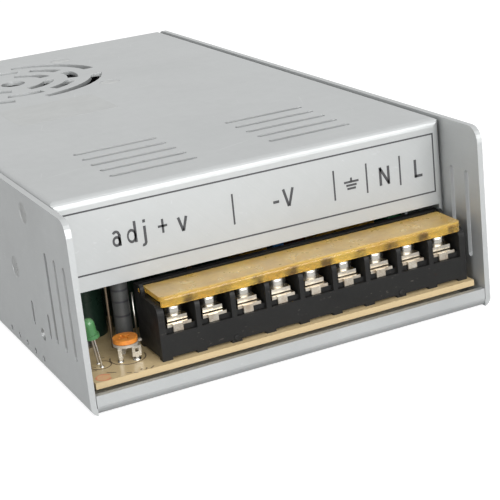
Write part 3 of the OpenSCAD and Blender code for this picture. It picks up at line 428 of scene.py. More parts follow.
@dataclass(frozen=True)
class ClearMoulding(Finish):
    """Tinted clear plastic or glass: light passes and tints through it, less where dust lies on it. Where a patch
    pitch is given, its upright faces take darker brown patches of painted shade, repeating along X.
    """

    clear: float = 0.5
    ior: float = 1.5
    shade_patch_start: float = 0.0
    shade_patch_pitch: float = 0.0
    shade_patch_colour: Colour = (0.10, 0.035, 0.008)

    def material(self, effects: Effects) -> Material:
        """Builds the material. Returns: the material."""
        material, sheet, shader, place = self.surface(effects)
        colour = self.tone(sheet, effects, place)
        skin = self.group(sheet, effects.stipple, place, Scale=self.scale * 30, Flow=self.scale * 2)
        lying = self.group(sheet, effects.settled, place, Amount=self.dust).outputs["Mask"]
        glow = colour.outputs["Colour"]
        # Painted shade: darker brown patches on the upright faces, one per pitch along X, with ragged edges.
        if self.shade_patch_pitch > 0:
            along = sheet.add("ShaderNodeSeparateXYZ", {0: place}).outputs[0]
            turn = sheet.math(
                "MULTIPLY", sheet.math("SUBTRACT", along, self.shade_patch_start), math.tau / self.shade_patch_pitch
            )
            ragged = sheet.spread(sheet.noise(place, 420.0, 3.0, 0.6), 0.3, 0.7, -0.55, 0.55)
            wave = sheet.math("ADD", sheet.math("COSINE", turn), ragged)
            up = sheet.up()
            upright = sheet.spread(sheet.math("ABSOLUTE", up), 0.3, 0.7, 0.8, 0.0)
            glow = sheet.mix(
                sheet.math("MULTIPLY", sheet.spread(wave, 0.2, 1.2), upright), glow, self.shade_patch_colour
            )
        tint = sheet.mix(lying, glow, self.dust_colour)
        sheet.tree.links.new(tint, shader.inputs["Base Color"])
        low, high = self.roughness - self.spread, self.roughness + self.spread
        rough = sheet.spread(skin.outputs["Dull"], 0.0, 1.0, low, high)
        sheet.tree.links.new(
            sheet.math("ADD", rough, sheet.math("MULTIPLY", lying, 0.3)), shader.inputs["Roughness"]
        )
        sheet.tree.links.new(
            sheet.math("MULTIPLY", sheet.math("SUBTRACT", 1.0, lying), self.clear),
            shader.inputs["Transmission Weight"],
        )
        shader.inputs["IOR"].default_value = self.ior
        self.relief(sheet, shader, skin.outputs["Height"], self.bump, 0.0001)
        return material


@dataclass(frozen=True)
class Banded(Finish):
    """An upright coated resistor: dark rings round its body, and bare leads beside and below it."""

    rings: tuple[float, ...] = ()
    ring_half: float = 0.0002
    axis: Point = (0.0, 0.0)
    body_radius: float = 0.0022
    body_low: float = 0.0
    ring_colour: Colour = (0.02, 0.02, 0.024)
    lead_colour: Colour = (0.22, 0.17, 0.12)

    def material(self, effects: Effects) -> Material:
        """Builds the material. Returns: the material."""
        material, sheet, shader, place = self.surface(effects)
        colour = self.tone(sheet, effects, place)
        xyz = sheet.add("ShaderNodeSeparateXYZ", {0: place})
        coat = self.soiled(sheet, effects, place, colour.outputs["Colour"])
        for height in self.rings:
            away = sheet.math("ABSOLUTE", sheet.math("SUBTRACT", xyz.outputs[2], height))
            coat = sheet.mix(
                sheet.spread(away, self.ring_half, self.ring_half * 1.6, 1.0, 0.0), coat, self.ring_colour
            )
        aside = [sheet.math("SUBTRACT", xyz.outputs[i], self.axis[i]) for i in (0, 1)]
        reach = sheet.math(
            "SQRT",
            sheet.math(
                "ADD", sheet.math("MULTIPLY", aside[0], aside[0]), sheet.math("MULTIPLY", aside[1], aside[1])
            ),
        )
        beside = sheet.math("GREATER_THAN", reach, self.body_radius * 1.05)
        bare = sheet.math("MAXIMUM", beside, sheet.math("LESS_THAN", xyz.outputs[2], self.body_low))
        sheet.tree.links.new(sheet.mix(bare, coat, self.lead_colour), shader.inputs["Base Color"])
        sheet.tree.links.new(bare, shader.inputs["Metallic"])
        skin = self.group(sheet, effects.stipple, place, Scale=self.scale * 30, Flow=self.scale * 2)
        low, high = self.roughness - self.spread, self.roughness + self.spread
        sheet.tree.links.new(
            sheet.spread(skin.outputs["Dull"], 0.0, 1.0, low, high), shader.inputs["Roughness"]
        )
        self.relief(sheet, shader, skin.outputs["Height"], self.bump, 0.0002)
        return material


@dataclass(frozen=True)
class Wound(Finish):
    """Turns of tape or wire lying on each other along the Z axis."""

    pitch: float = 0.0012

    def material(self, effects: Effects) -> Material:
        """Builds the material. Returns: the material."""
        material, sheet, shader, place = self.surface(effects)
        turns = self.group(sheet, effects.bands, place, Pitch=self.pitch)
        colour = self.tone(sheet, effects, place)
        sheet.tree.links.new(
            sheet.mix(turns.outputs["Groove"], colour.outputs["Colour"], self.deep), shader.inputs["Base Color"]
        )
        low, high = self.roughness - self.spread, self.roughness + self.spread
        sheet.tree.links.new(
            sheet.spread(turns.outputs["Groove"], 0.0, 1.0, low, high), shader.inputs["Roughness"]
        )
        self.relief(sheet, shader, turns.outputs["Height"], self.bump, 0.0002)
        return material


# ---------------------------------------------------------------- finishes

CASE_SHEET = SheetMetal(
    "case aluminium", (0.45, 0.462, 0.462), (0.40, 0.41, 0.41), 0.54, 0.85, 0.05, 30.0, 0.5, 0.05
)
BAR_METAL = SheetMetal("bar aluminium", (0.50, 0.51, 0.52), (0.38, 0.39, 0.40), 0.38, 1.0, 0.08, 90.0, 0.6, 0.1)
SCREW_STEEL = SheetMetal(
    "zinc plated steel", (0.50, 0.51, 0.50), (0.30, 0.31, 0.31), 0.32, 1.0, 0.08, 500.0, 0.6, 0.1
)
NICKEL = SheetMetal("nickel plate", (0.80, 0.78, 0.72), (0.55, 0.52, 0.46), 0.22, 1.0, 0.08, 600.0, 0.6, 0.08)
BASE_PLATE = SheetMetal("base plate", (0.72, 0.69, 0.61), (0.38, 0.28, 0.18), 0.3, 1.0, 0.1, 420.0, 0.7, 0.25)
CONTACT = SheetMetal("tinned contact", (0.70, 0.67, 0.60), (0.46, 0.41, 0.33), 0.3, 1.0, 0.1, 700.0, 0.8, 0.25)
TINNED = SheetMetal("tinned wire", (0.70, 0.68, 0.62), (0.48, 0.45, 0.40), 0.3, 1.0, 0.08, 600.0, 0.6, 0.1)
BRASS = SheetMetal("brass", (0.62, 0.45, 0.18), (0.42, 0.28, 0.10), 0.3, 1.0, 0.08, 400.0, 0.6, 0.1)
CLIP_BRASS = SheetMetal("tinned brass", (0.66, 0.58, 0.38), (0.45, 0.38, 0.22), 0.3, 1.0, 0.08, 400.0, 0.6, 0.1)
BLOCK = Finish(
    "block plastic", (0.011, 0.011, 0.0105), (0.006, 0.006, 0.006), 0.45, 0.0, 0.08, 150.0, 0.6, 0.12,
    specular=0.22, specks=0.45, dust_colour=(0.17, 0.15, 0.13),
)
MOULD_BLACK = Finish(
    "moulding compound", (0.022, 0.022, 0.024), (0.014, 0.014, 0.015), 0.6, 0.0, 0.08, 200.0, 0.6, 0.25
)
FAN_PLASTIC = Finish("fan plastic", (0.03, 0.03, 0.033), (0.018, 0.018, 0.02), 0.4, 0.0, 0.08, 120.0, 0.6, 0.1)
BOARD = Laminate(
    "board laminate", (0.56, 0.44, 0.25), (0.42, 0.31, 0.16), 0.5, 0.0, 0.08, 160.0, 0.8, 0.15, specular=0.3,
    specks=0.9, dust_colour=(0.16, 0.11, 0.06),
)
AMBER = ClearMoulding(
    "amber plastic", (0.98, 0.70, 0.14), (0.62, 0.33, 0.04), 0.14, 0.0, 0.05, 130.0, 0.55, 0.2, dust=0.75,
    dust_colour=(0.25, 0.175, 0.11), clear=0.74, ior=1.5,
)
LAMP = ClearMoulding(
    "lamp lens", (0.11, 0.31, 0.12), (0.07, 0.22, 0.08), 0.16, 0.0, 0.04, 300.0, 0.5, 0.04, dust=0.2,
    dust_colour=(0.20, 0.20, 0.12), clear=0.4, ior=1.5,
)
GLASS = ClearMoulding(
    "fuse glass", (0.9, 0.94, 0.93), (0.84, 0.9, 0.9), 0.05, 0.0, 0.02, 100.0, 0.3, 0.02, clear=0.9, ior=1.45
)
TRIM_ORANGE = Finish(
    "trimmer orange", (0.72, 0.27, 0.04), (0.44, 0.12, 0.018), 0.42, 0.0, 0.08, 500.0, 0.8, 0.2
)
TRIM_PLATE = Finish("trimmer plate", (0.52, 0.48, 0.42), (0.36, 0.33, 0.28), 0.4, 0.4, 0.08, 500.0, 0.7, 0.2)
RESISTOR_GREY = Banded(
    "resistor enamel", (0.060, 0.062, 0.060), (0.034, 0.036, 0.036), 0.42, 0.0, 0.06, 250.0, 0.7, 0.15,
    rings=(0.0221, 0.0191, 0.0153), axis=(-0.0384, -0.0855), body_low=0.008,
)
RESISTOR_TAN = Finish("resistor tan", (0.60, 0.42, 0.22), (0.45, 0.30, 0.14), 0.45, 0.0, 0.08, 300.0, 0.7, 0.2)
NYLON = Finish("header nylon", (0.74, 0.70, 0.58), (0.62, 0.58, 0.46), 0.4, 0.0, 0.06, 200.0, 0.6, 0.1)
FILM = Finish("insulation film", (0.68, 0.66, 0.58), (0.58, 0.56, 0.48), 0.35, 0.0, 0.08, 60.0, 0.6, 0.05)
FERRITE = Finish("ferrite", (0.05, 0.05, 0.055), (0.028, 0.028, 0.03), 0.62, 0.0, 0.1, 260.0, 0.8, 0.4)
CORE_GREEN = Finish("green core coat", (0.03, 0.16, 0.06), (0.02, 0.10, 0.04), 0.35, 0.0, 0.06, 150.0, 0.6, 0.1)
CORE_YELLOW = Finish(
    "yellow core coat", (0.62, 0.48, 0.06), (0.48, 0.36, 0.04), 0.4, 0.0, 0.06, 150.0, 0.6, 0.1
)
COIL_TAPE = Wound("coil tape", (0.32, 0.18, 0.03), (0.20, 0.10, 0.015), 0.3, 0.0, 0.08, 90.0, 0.5, 0.2)
COPPER = Finish("enamelled copper", (0.42, 0.14, 0.04), (0.26, 0.08, 0.02), 0.22, 0.6, 0.06, 300.0, 0.7, 0.05)
SLEEVE_BLUE = Finish("blue sleeve", (0.02, 0.035, 0.14), (0.015, 0.025, 0.09), 0.25, 0.0, 0.05, 80.0, 0.5, 0.04)
SLEEVE_GREEN = Finish(
    "green sleeve", (0.010, 0.024, 0.016), (0.006, 0.016, 0.010), 0.3, 0.0, 0.05, 80.0, 0.5, 0.04, specular=0.3
)
SLEEVE_BLACK = Finish(
    "black sleeve", (0.018, 0.018, 0.022), (0.012, 0.012, 0.014), 0.25, 0.0, 0.05, 80.0, 0.5, 0.04
)
DISC_GREEN = Finish("thermistor coat", (0.03, 0.17, 0.07), (0.02, 0.11, 0.05), 0.4, 0.0, 0.08, 150.0, 0.6, 0.15)
DISC_BLUE = Finish("disc coat", (0.03, 0.16, 0.42), (0.02, 0.11, 0.30), 0.35, 0.0, 0.06, 200.0, 0.6, 0.1)
FILM_YELLOW = Finish(
    "film capacitor box", (0.34, 0.19, 0.02), (0.26, 0.14, 0.015), 0.32, 0.0, 0.06, 120.0, 0.5, 0.06
)
INK = Finish("printed ink", (0.035, 0.035, 0.038), (0.06, 0.06, 0.063), 0.5, 0.0, 0.1, 900.0, 0.5, 0.05)
RED_INK = Finish("stamp ink", (0.60, 0.14, 0.07), (0.62, 0.34, 0.18), 0.45, 0.0, 0.08, 900.0, 0.9, 0.1)
FADED_INK = Finish("faded stamp ink", (0.62, 0.32, 0.17), (0.62, 0.44, 0.22), 0.45, 0.0, 0.08, 700.0, 0.9, 0.1)
BOARD_INK = Finish("board ink", (0.06, 0.045, 0.03), (0.22, 0.15, 0.08), 0.5, 0.0, 0.1, 900.0, 0.7, 0.05)
SOLDER = SheetMetal("solder", (0.62, 0.61, 0.58), (0.42, 0.41, 0.38), 0.3, 1.0, 0.1, 700.0, 0.7, 0.15)
LABEL_FOIL = Finish(
    "blank label", (0.40, 0.41, 0.405), (0.37, 0.378, 0.375), 0.5, 0.3, 0.06, 60.0, 0.6, 0.05, specular=0.3
)


class Wardrobe:
    """Hands out each finish's material, made the first time it is asked for."""

    def __init__(self) -> None:
        """Builds the shared effects."""
        self.effects = Effects()
        self.made: dict[str, Material] = {}

    def of(self, finish: Finish) -> Material:
        """Returns: the finish's material."""
        if finish.name not in self.made:
            self.made[finish.name] = finish.material(self.effects)
        return self.made[finish.name]

    def dress(self, finish: Finish, *nodes: str) -> None:
        """Gives CAD nodes a finish in place of their own. Args: nodes: the nodes' names."""
        for name in nodes:
            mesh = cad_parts[name].data
            mesh.materials.clear()
            mesh.materials.append(self.of(finish))
            for face in mesh.polygons:
                face.material_index = 0
            log.info("%s: %s", name, finish.name)


# ---------------------------------------------------------------- mesh building


class Shaper:
    """A mesh being built with bmesh operators."""

    def __init__(self) -> None:
        """Starts an empty mesh."""
        self.bm = bmesh.new()

    def place(self, verts: Verts, matrix: Matrix) -> None:
        """Moves new vertices by a matrix."""
        bmesh.ops.transform(self.bm, matrix=matrix, verts=verts)

    def block(self, low: Vector, high: Vector) -> Verts:
        """Adds a box between two corners. Returns: its vertices."""
        made = bmesh.ops.create_cube(self.bm, size=1.0)["verts"]
        size = high - low
        self.place(made, Matrix.Translation((low + high) / 2) @ Matrix.Diagonal((*size, 1.0)))
        return made

    def ring(
        self, centre: Vector, inner: float, outer: float, height: float, start: float = 0.0,
        sweep: float = 360.0, steps: int = 40,
    ) -> Verts:
        """Spins a rectangle about the Z axis through centre into a ring or part of one.

        Args:
            centre: the middle of the ring's underside.
            inner: inside radius.
            outer: outside radius.
            height: thickness along Z.
            start: angle of the first end, in degrees.
            sweep: how far it goes round, in degrees.
            steps: faces round the sweep.

        Returns:
            Its vertices.
        """
        grid = bmesh.ops.create_grid(self.bm, x_segments=1, y_segments=1, size=0.5)["verts"]
        upright = Matrix.Rotation(math.radians(90), 4, "X")
        self.place(grid, upright @ Matrix.Diagonal((outer - inner, height, 1.0, 1.0)))
        self.place(grid, Matrix.Translation(((inner + outer) / 2, 0.0, height / 2)))
        self.place(grid, Matrix.Rotation(math.radians(start), 4, "Z"))
        before = set(self.bm.verts)
        faces = list({f for v in grid for f in v.link_faces})
        full = abs(sweep - 360.0) < 1e-6
        spun = bmesh.ops.spin(
            self.bm, geom=[
                *grid, *{e for v in grid for e in v.link_edges}, *faces
            ], cent=(0, 0, 0), axis=(0, 0, 1),
            angle=math.radians(sweep), steps=steps, use_merge=full, use_duplicate=False,
        )
        if full:
            bmesh.ops.delete(self.bm, geom=[f for f in faces if f.is_valid], context="FACES_ONLY")
        made = [v for v in self.bm.verts if v not in before or v in grid]
        bmesh.ops.recalc_face_normals(self.bm, faces=list({f for v in made for f in v.link_faces}))
        self.place(made, Matrix.Translation(centre))
        return made

    def finish(
        self, name: str, material: Material, body: str = CASE_BODY, smooth: bool = False, slot: str = ""
    ) -> bpy.types.Object:
        """Turns the mesh into an object that rides on a body.

        Args:
            name: the piece's name.
            material: its material.
            body: the CAD body that carries it.
            smooth: whether its faces are shaded smooth.
            slot: not used.

        Returns:
            The piece.
        """
        bmesh.ops.remove_doubles(self.bm, verts=self.bm.verts, dist=1e-7)
        mesh = bpy.data.meshes.new(name)
        self.bm.to_mesh(mesh)
        self.bm.free()
        mesh.materials.append(material)
        for face in mesh.polygons:
            face.use_smooth = smooth
        piece = bpy.data.objects.new(name, mesh)
        bpy.context.scene.collection.objects.link(piece)
        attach(piece, body)
        log.info("%s rides on %s", name, body)
        return piece


# ---------------------------------------------------------------- the case


@dataclass
class FacePrint:
    """The black print on the cover's front face: a frame, dividers and the terminals' functions.

    Places are millimetres across and up from the middle of the underside.
    """

    half_width: float = 52.0
    bottom: float = 29.1
    top: float = 45.0
    line: float = 0.42
    stroke: float = 0.72
    lean: float = -0.22
    raised: float = 0.03
    dividers: tuple[float, ...] = (-7.3, 21.7, 31.4, 41.5)
    divider_low: float = 33.0
    divider_high: float = 41.05
    face_y: float = 0.0
    shaper: Shaper = field(default_factory=Shaper)

    def bar(self, start: Point, end: Point, width: float) -> None:
        """Adds a straight stroke between two points."""
        a, b = Vector((start[0], 0.0, start[1])), Vector((end[0], 0.0, end[1]))
        run = b - a
        made = self.shaper.block(
            Vector((-run.length / 2, -self.raised, -width / 2)),
            Vector((run.length / 2, self.raised, width / 2)),
        )
        turn = Matrix.Rotation(-math.atan2(run.z, run.x), 4, "Y")
        self.shaper.place(made, Matrix.Translation((a + b) / 2) @ turn)

    def bow(
        self, centre: Point, radius: float, start: float, sweep: float, width: float, squash: float = 1.0
    ) -> None:
        """Adds a curved stroke.

        Args:
            centre: its centre.
            radius: radius of its middle line.
            start: first angle in degrees, 0 to the right and 90 up.
            sweep: degrees that it goes round.
            width: width of the stroke.
            squash: its width as a share of its height.
        """
        made = self.shaper.ring(
            Vector(), radius - width / 2, radius + width / 2, 2 * self.raised, start, sweep, 16
        )
        upright = Matrix.Rotation(math.radians(90), 4, "X")
        self.shaper.place(
            made,
            Matrix.Translation(
                (centre[0], self.raised, centre[1])
            ) @ Matrix.Diagonal((squash, 1.0, 1.0, 1.0)) @ upright,
        )

    def border(self) -> None:
        """Adds the frame and the dividers."""
        w, low, high, half = self.half_width, self.bottom, self.top, self.line / 2
        self.bar((-w - half, high), (w + half, high), self.line)
        self.bar((-w - half, low), (w + half, low), self.line)
        for side in (-1, 1):
            self.bar((side * w, low), (side * w, high), self.line)
        for x in self.dividers:
            self.bar((x, self.divider_low), (x, self.divider_high), self.line * 1.15)

    def adjust_mark(self) -> None:
        """Adds the mark of the trimmer: adj + v."""
        s = self.stroke
        self.bow((-38.9, 35.75), 1.05, 0, 360, s, 0.8)
        self.bow((-38.95, 37.25), 0.95, 0, 150, s, 0.85)
        self.bar((-38.1, 34.45), (-38.1, 37.4), s)
        self.bow((-34.95, 36.25), 1.5, 0, 360, s, 0.66)
        self.bar((-33.9, 34.45), (-33.9, 39.9), s)
        self.bar((-31.4, 34.0), (-31.4, 38.1), s)
        self.bow((-32.1, 34.0), 0.7, 250, 110, s)
        self.bar((-31.4, 38.95), (-31.4, 39.75), s)
        self.bar((-27.9, 37.0), (-25.4, 37.0), s * 0.85)
        self.bar((-26.6, 35.2), (-26.6, 38.8), s * 0.85)
        self.bar((-22.35, 38.2), (-21.3, 34.5), s)
        self.bar((-20.2, 38.2), (-21.2, 34.5), s)

    def output_mark(self) -> None:
        """Adds the mark of the negative outputs: -V."""
        s = self.stroke
        self.bar((3.9, 36.3), (5.6, 36.3), s)
        self.bar((7.0, 39.2), (8.25, 34.5), s)
        self.bar((9.7, 39.2), (8.4, 34.5), s)

    def earth_mark(self) -> None:
        """Adds the earth symbol."""
        s = self.stroke * 0.8
        self.bar((26.75, 37.1), (26.75, 38.2), s)
        for left, right, z in ((24.6, 28.95, 37.1), (25.2, 28.3, 36.2), (25.45, 28.0, 35.3)):
            self.bar((left, z), (right, z), s)

    def mains_marks(self) -> None:
        """Adds N and L."""
        s = self.stroke * 1.05
        self.bar((35.5, 34.1), (35.5, 39.1), s)
        self.bar((37.95, 34.1), (37.95, 39.1), s)
        self.bar((35.5, 38.8), (37.95, 34.4), s)
        self.bar((46.2, 34.1), (46.2, 39.0), s)
        self.bar((46.0, 34.45), (48.3, 34.45), s)

    def build(self, wardrobe: Wardrobe) -> bpy.types.Object:
        """Builds the print on the cover's face. Returns: the piece."""
        self.border()
        self.adjust_mark()
        self.output_mark()
        self.earth_mark()
        self.mains_marks()
        middle = Vector((0.0, 0.0, (self.bottom + self.top) / 2))
        turn = Matrix.Translation(middle) @ Matrix.Rotation(
            math.radians(-self.lean), 4, "Y"
        ) @ Matrix.Translation(-middle)
        onto = Matrix.Translation((0.0, self.face_y, 0.0)) @ Matrix.Scale(MM, 4)
        self.shaper.place(self.shaper.bm.verts[:], onto @ turn)
        return self.shaper.finish("face_print", wardrobe.of(INK))


@dataclass
class Case:
    """The folded chassis, the cover with its print, and their screws."""

    label_low: Point = (-0.035, -0.0055)
    label_high: Point = (-0.004, 0.0195)
    label_thick: float = 0.00002

    def build(self, wardrobe: Wardrobe) -> None:
        """Dresses the case and adds the print and the blank label."""
        wardrobe.dress(CASE_SHEET, "chassis", "top_cover")
        wardrobe.dress(SCREW_STEEL, "side_screws", "board_screws")
        wardrobe.dress(FILM, "insulation_sheet")
        low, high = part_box("top_cover")
        FacePrint(face_y=low.y).build(wardrobe)
        shaper = Shaper()
        shaper.block(Vector((*self.label_low, high.z)), Vector((*self.label_high, high.z + self.label_thick)))
        upright = [e for e in shaper.bm.edges if abs(e.verts[0].co.z - e.verts[1].co.z) > self.label_thick / 2]
        bmesh.ops.bevel(
            shaper.bm, geom=upright, offset=0.0012, affect="EDGES", segments=5, profile=0.5, material=-1
        )
        shaper.finish("blank_label", wardrobe.of(LABEL_FOIL), slot="case_sheet")


# ---------------------------------------------------------------- the terminals


@dataclass
class Terminals:
    """The barrier block, its contacts, clamps and screws, and the hinged strip over them, whose upright faces
    carry painted shade a little right of each clamp.
    """

    count: int = 9
    shade_patch_shift: float = 0.25

    def build(self, wardrobe: Wardrobe) -> None:
        """Dresses every part of the terminals."""
        wardrobe.dress(BLOCK, "terminal_block")
        wardrobe.dress(BASE_PLATE, "terminal_bases")
        first, last = (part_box(f"clamp_{number}") for number in (1, self.count))
        centres = [(low.x + high.x) / 2 for low, high in (first, last)]
        pitch = (centres[1] - centres[0]) / (self.count - 1)
        # Painted shade on the amber strip: dark patches at the terminal pitch, a quarter pitch right of each
        # clamp's middle.
        wardrobe.dress(
            replace(AMBER, shade_patch_start=centres[0] + pitch * self.shade_patch_shift, shade_patch_pitch=pitch),
            "terminal_cover",
        )
        for number in range(1, self.count + 1):
            wardrobe.dress(CONTACT, f"clamp_{number}")
            wardrobe.dress(NICKEL, f"terminal_screw_{number}")


# ---------------------------------------------------------------- the board


@dataclass
class Board:
    """The circuit board with its print, and the small controls at its front corner."""

    print_thick: float = 0.00004
    stroke: float = 0.00032
    outline_ends: tuple[tuple[float, float, float, float], ...] = (
        (-0.0413, -0.0941, 0.0043, 215.0), (-0.0486, -0.0943, 0.0025, 300.0)
    )
    ticks: tuple[tuple[Point, Point], ...] = (
        (
            (-0.0490, -0.0998), (-0.0470, -0.1011)
        ), ((-0.0450, -0.1030), (-0.0440, -0.1037)), ((-0.0435, -0.1040), (-0.0426, -0.1046)),
        (
            (-0.0416, -0.1036), (-0.0410, -0.1030)
        ), ((-0.0404, -0.1041), (-0.0398, -0.1031)), ((-0.0391, -0.1041), (-0.0380, -0.1032)),
        (
            (-0.0512, -0.0935), (-0.0500, -0.0949)
        ), ((-0.0476, -0.0899), (-0.0461, -0.0903)), ((-0.0519, -0.0962), (-0.0506, -0.0970)),
    )
    stamp: Point = (-0.0506, -0.1021)
    stamp_radius: float = 0.0021
    jumper: Point = (-0.03545, -0.0862)
    jumper_top: float = 0.0205
    jumper_radius: float = 0.0003
    fillets: tuple[tuple[float, float, float], ...] = (
        (-0.0397, -0.0966, 0.0011), (-0.0437, -0.0956, 0.0008),
        (-0.0486, -0.0930, 0.0006), (-0.0486, -0.0956, 0.0006),
    )

    def board_print(self, wardrobe: Wardrobe, z: float) -> None:
        """Adds the printed outlines and ticks round the trimmer and the lamp. Args: z: the board's face."""
        shaper = Shaper()
        for x, y, radius, sweep in self.outline_ends:
            shaper.ring(Vector((x, y, z)), radius, radius + self.stroke, self.print_thick, 150.0, sweep)
        for start, end in self.ticks:
            a, b = Vector((*start, 0.0)), Vector((*end, 0.0))
            run = b - a
            made = shaper.block(
                Vector((-run.length / 2, -self.stroke / 2, 0)),
                Vector((run.length / 2, self.stroke / 2, self.print_thick)),
            )
            turn = Matrix.Rotation(math.atan2(run.y, run.x), 4, "Z")
            shaper.place(made, Matrix.Translation((a + b) / 2 + Vector((0, 0, z))) @ turn)
        shaper.finish("board_print", wardrobe.of(BOARD_INK))

    def inspection_stamp(self, wardrobe: Wardrobe, z: float) -> None:
        """Adds a faint red stamp: a ring on a tinted spot. Args: z: the board's face."""
        ring = Shaper()
        ring.ring(
            Vector((*self.stamp, z)), self.stamp_radius - 0.0004, self.stamp_radius, self.print_thick, 20.0,
            300.0,
        )
        ring.finish("stamp_ring", wardrobe.of(RED_INK))
        spot = Shaper()
        spot.ring(Vector((*self.stamp, z)), 0.0, self.stamp_radius - 0.0004, self.print_thick / 2)
        spot.finish("stamp_spot", wardrobe.of(FADED_INK))

    def solder(self, wardrobe: Wardrobe, z: float) -> None:
        """Adds the bright fillets where the front legs of the trimmer and the lamp's leads meet the board."""
        shaper = Shaper()
        for x, y, width in self.fillets:
            made = bmesh.ops.create_uvsphere(shaper.bm, u_segments=20, v_segments=12, radius=1.0)["verts"]
            shaper.place(
                made, Matrix.Translation((x, y, z)) @ Matrix.Diagonal((width, width * 0.8, width * 0.6, 1.0))
            )
        below = [f for f in shaper.bm.faces if f.calc_center_median().z < z - 0.00001]
        bmesh.ops.delete(shaper.bm, geom=below, context="FACES")
        shaper.finish("solder_fillets", wardrobe.of(SOLDER), smooth=True, slot="tinned_wire")

    def jumper_lead(self, wardrobe: Wardrobe, z: float) -> None:
        """Adds the upright bare lead between the resistor and the terminal block. Args: z: the board's face."""
        shaper = Shaper()
        round_bar = {"radius1": self.jumper_radius, "radius2": self.jumper_radius, "depth": self.jumper_top - z}
        made = bmesh.ops.create_cone(shaper.bm, cap_ends=True, segments=16, **round_bar)["verts"]
        shaper.place(made, Matrix.Translation((*self.jumper, (self.jumper_top + z) / 2)))
        shaper.finish("jumper_lead", wardrobe.of(TINNED), smooth=True, slot="tinned_wire")

    def build(self, wardrobe: Wardrobe) -> None:
        """Dresses the board and what stands at its front."""
        wardrobe.dress(BOARD, "circuit_board")
        wardrobe.dress(BRASS, "board_spacers")
        wardrobe.dress(LAMP, "led")
        wardrobe.dress(TINNED, "led_leads", "trimmer_legs")
        wardrobe.dress(TRIM_PLATE, "trimmer_frame")
        wardrobe.dress(TRIM_ORANGE, "trimmer_rotor")
        wardrobe.dress(RESISTOR_GREY, "upright_resistor")
        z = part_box("circuit_board")[1].z
        self.board_print(wardrobe, z)
        self.inspection_stamp(wardrobe, z)
        self.solder(wardrobe, z)
        self.jumper_lead(wardrobe, z)


# ---------------------------------------------------------------- what is inside


@dataclass
class Inside:
    """The power parts on the board, the heat bars and the fan."""

    def build(self, wardrobe: Wardrobe) -> None:
        """Dresses the inner parts."""
        wardrobe.dress(FAN_PLASTIC, "fan_frame", "fan_rotor")
        wardrobe.dress(SCREW_STEEL, "fan_screws")
        wardrobe.dress(NYLON, "fan_header")
        wardrobe.dress(FERRITE, "transformer_core")
        wardrobe.dress(COIL_TAPE, "transformer_coil", "drive_transformer")
        wardrobe.dress(CORE_GREEN, "choke_core")
        wardrobe.dress(CORE_YELLOW, "inductor_core")
        wardrobe.dress(COPPER, "choke_winding", "inductor_winding")
        wardrobe.dress(SLEEVE_BLUE, "bulk_capacitors")
        wardrobe.dress(SLEEVE_GREEN, "output_capacitors")
        wardrobe.dress(SLEEVE_BLACK, "small_capacitors")
        wardrobe.dress(BAR_METAL, "left_heat_bar", "right_heat_bar")
        wardrobe.dress(
            MOULD_BLACK, "output_rectifiers", "power_transistors", "bridge_rectifier", "control_chip"
        )
        wardrobe.dress(GLASS, "fuse")
        wardrobe.dress(CLIP_BRASS, "fuse_clips")
        wardrobe.dress(DISC_GREEN, "thermistor")
        wardrobe.dress(FILM_YELLOW, "film_capacitors")
        wardrobe.dress(DISC_BLUE, "disc_capacitors")
        wardrobe.dress(RESISTOR_TAN, "small_resistors")


# ---------------------------------------------------------------- the studio


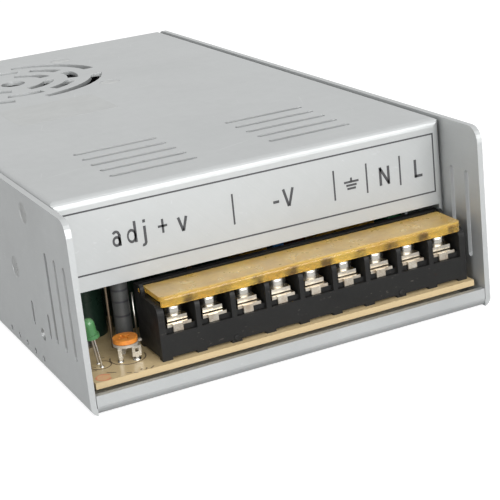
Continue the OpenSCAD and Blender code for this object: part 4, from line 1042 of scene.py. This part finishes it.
@dataclass
class Studio:
    """Camera, floor, lamps and world."""

    camera_place: tuple[float, float, float] = (-0.14886, -0.42052, 0.14533)
    camera_turn: float = 23.72
    camera_tilt: float = 18.41
    camera_roll: float = -6.12
    lens: float = 107.3
    floor_size: float = 4.0
    world_light: float = 0.70

    def camera(self) -> None:
        """Adds the camera: turn is to the right of +Y, tilt below the horizon, roll clockwise when negative."""
        data = bpy.data.cameras.new("camera")
        data.lens, data.sensor_width = self.lens, 36.0
        data.clip_start, data.clip_end = 0.01, 20.0
        camera = bpy.data.objects.new("camera", data)
        turn = Matrix.Rotation(math.radians(-self.camera_turn), 4, "Z")
        tilt = Matrix.Rotation(math.radians(90 - self.camera_tilt), 4, "X")
        roll = Matrix.Rotation(math.radians(self.camera_roll), 4, "Z")
        camera.matrix_world = Matrix.Translation(self.camera_place) @ turn @ tilt @ roll
        bpy.context.scene.collection.objects.link(camera)
        bpy.context.scene.camera = camera

    def backdrop_mix(self, sheet: Sheet) -> Socket:
        """Returns: 1 for rays that see the background as white, which are camera, glossy and transmission rays."""
        path = sheet.add("ShaderNodeLightPath")
        seen = sheet.math("MAXIMUM", path.outputs["Is Camera Ray"], path.outputs["Is Glossy Ray"])
        return sheet.math("MAXIMUM", seen, path.outputs["Is Transmission Ray"])

    def world(self) -> None:
        """Makes a white world that lights the object a little less than it shows."""
        world = bpy.data.worlds.new("studio")
        world.use_nodes = True
        sheet = Sheet(world.node_tree)
        world.node_tree.nodes.clear()
        strength = sheet.spread(self.backdrop_mix(sheet), 0.0, 1.0, self.world_light, 1.0)
        background = sheet.add("ShaderNodeBackground", {"Color": (1.0, 1.0, 1.0, 1.0), "Strength": strength})
        sheet.add("ShaderNodeOutputWorld", {"Surface": background.outputs[0]})
        bpy.context.scene.world = world

    def floor(self) -> None:
        """Adds a pale floor that keeps the object's shadow."""
        shaper = Shaper()
        bmesh.ops.create_grid(shaper.bm, x_segments=2, y_segments=2, size=self.floor_size / 2)
        material = bpy.data.materials.new("floor")
        material.use_nodes = True
        sheet = Sheet(material.node_tree)
        material.node_tree.nodes.clear()
        path = sheet.add("ShaderNodeLightPath")
        glow = sheet.math("MULTIPLY", path.outputs["Is Camera Ray"], 0.62)
        diffuse = sheet.add("ShaderNodeBsdfDiffuse", {"Color": (0.5, 0.5, 0.5, 1.0)})
        emission = sheet.add("ShaderNodeEmission", {"Color": (1.0, 1.0, 1.0, 1.0), "Strength": glow})
        both = sheet.add("ShaderNodeAddShader", {0: diffuse.outputs[0], 1: emission.outputs[0]})
        sheet.add("ShaderNodeOutputMaterial", {"Surface": both.outputs[0]})
        mesh = bpy.data.meshes.new("floor")
        shaper.bm.to_mesh(mesh)
        shaper.bm.free()
        mesh.materials.append(material)
        floor = bpy.data.objects.new("floor", mesh)
        bpy.context.scene.collection.objects.link(floor)

    def lamp(self, name: str, place: tuple[float, float, float], size: float, power: float) -> None:
        """Adds a square soft lamp that points at the object. Args: power: watts."""
        data = bpy.data.lights.new(name, "AREA")
        data.shape, data.size, data.energy = "SQUARE", size, power
        lamp = bpy.data.objects.new(name, data)
        aim = Vector((0.0, -0.03, 0.03)) - Vector(place)
        lamp.matrix_world = Matrix.Translation(place) @ aim.to_track_quat("-Z", "Y").to_matrix().to_4x4()
        bpy.context.scene.collection.objects.link(lamp)

    def build(self) -> None:
        """Adds all of it and sets plain colour handling."""
        bpy.context.scene.view_settings.view_transform = "Standard"
        self.camera()
        self.world()
        self.floor()
        self.lamp("front lamp", (0.05, -1.2, 0.32), 1.1, 21.0)
        self.lamp("left lamp", (-1.1, -0.45, 0.4), 0.7, 8.0)
        self.lamp("top lamp", (0.1, 0.15, 1.1), 0.8, 1.4)


class Assembly(Enum):
    """The sub-assemblies in the order they are built."""

    CASE = Case
    TERMINALS = Terminals
    BOARD = Board
    INSIDE = Inside


def main() -> None:
    logging.basicConfig(level=logging.INFO, format="%(name)s: %(message)s")
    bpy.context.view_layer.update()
    Studio().build()
    wardrobe = Wardrobe()
    for part in Assembly:
        part.value().build(wardrobe)
        log.info("%s done", part.name.lower())


if __name__ == "__main__":
    main()
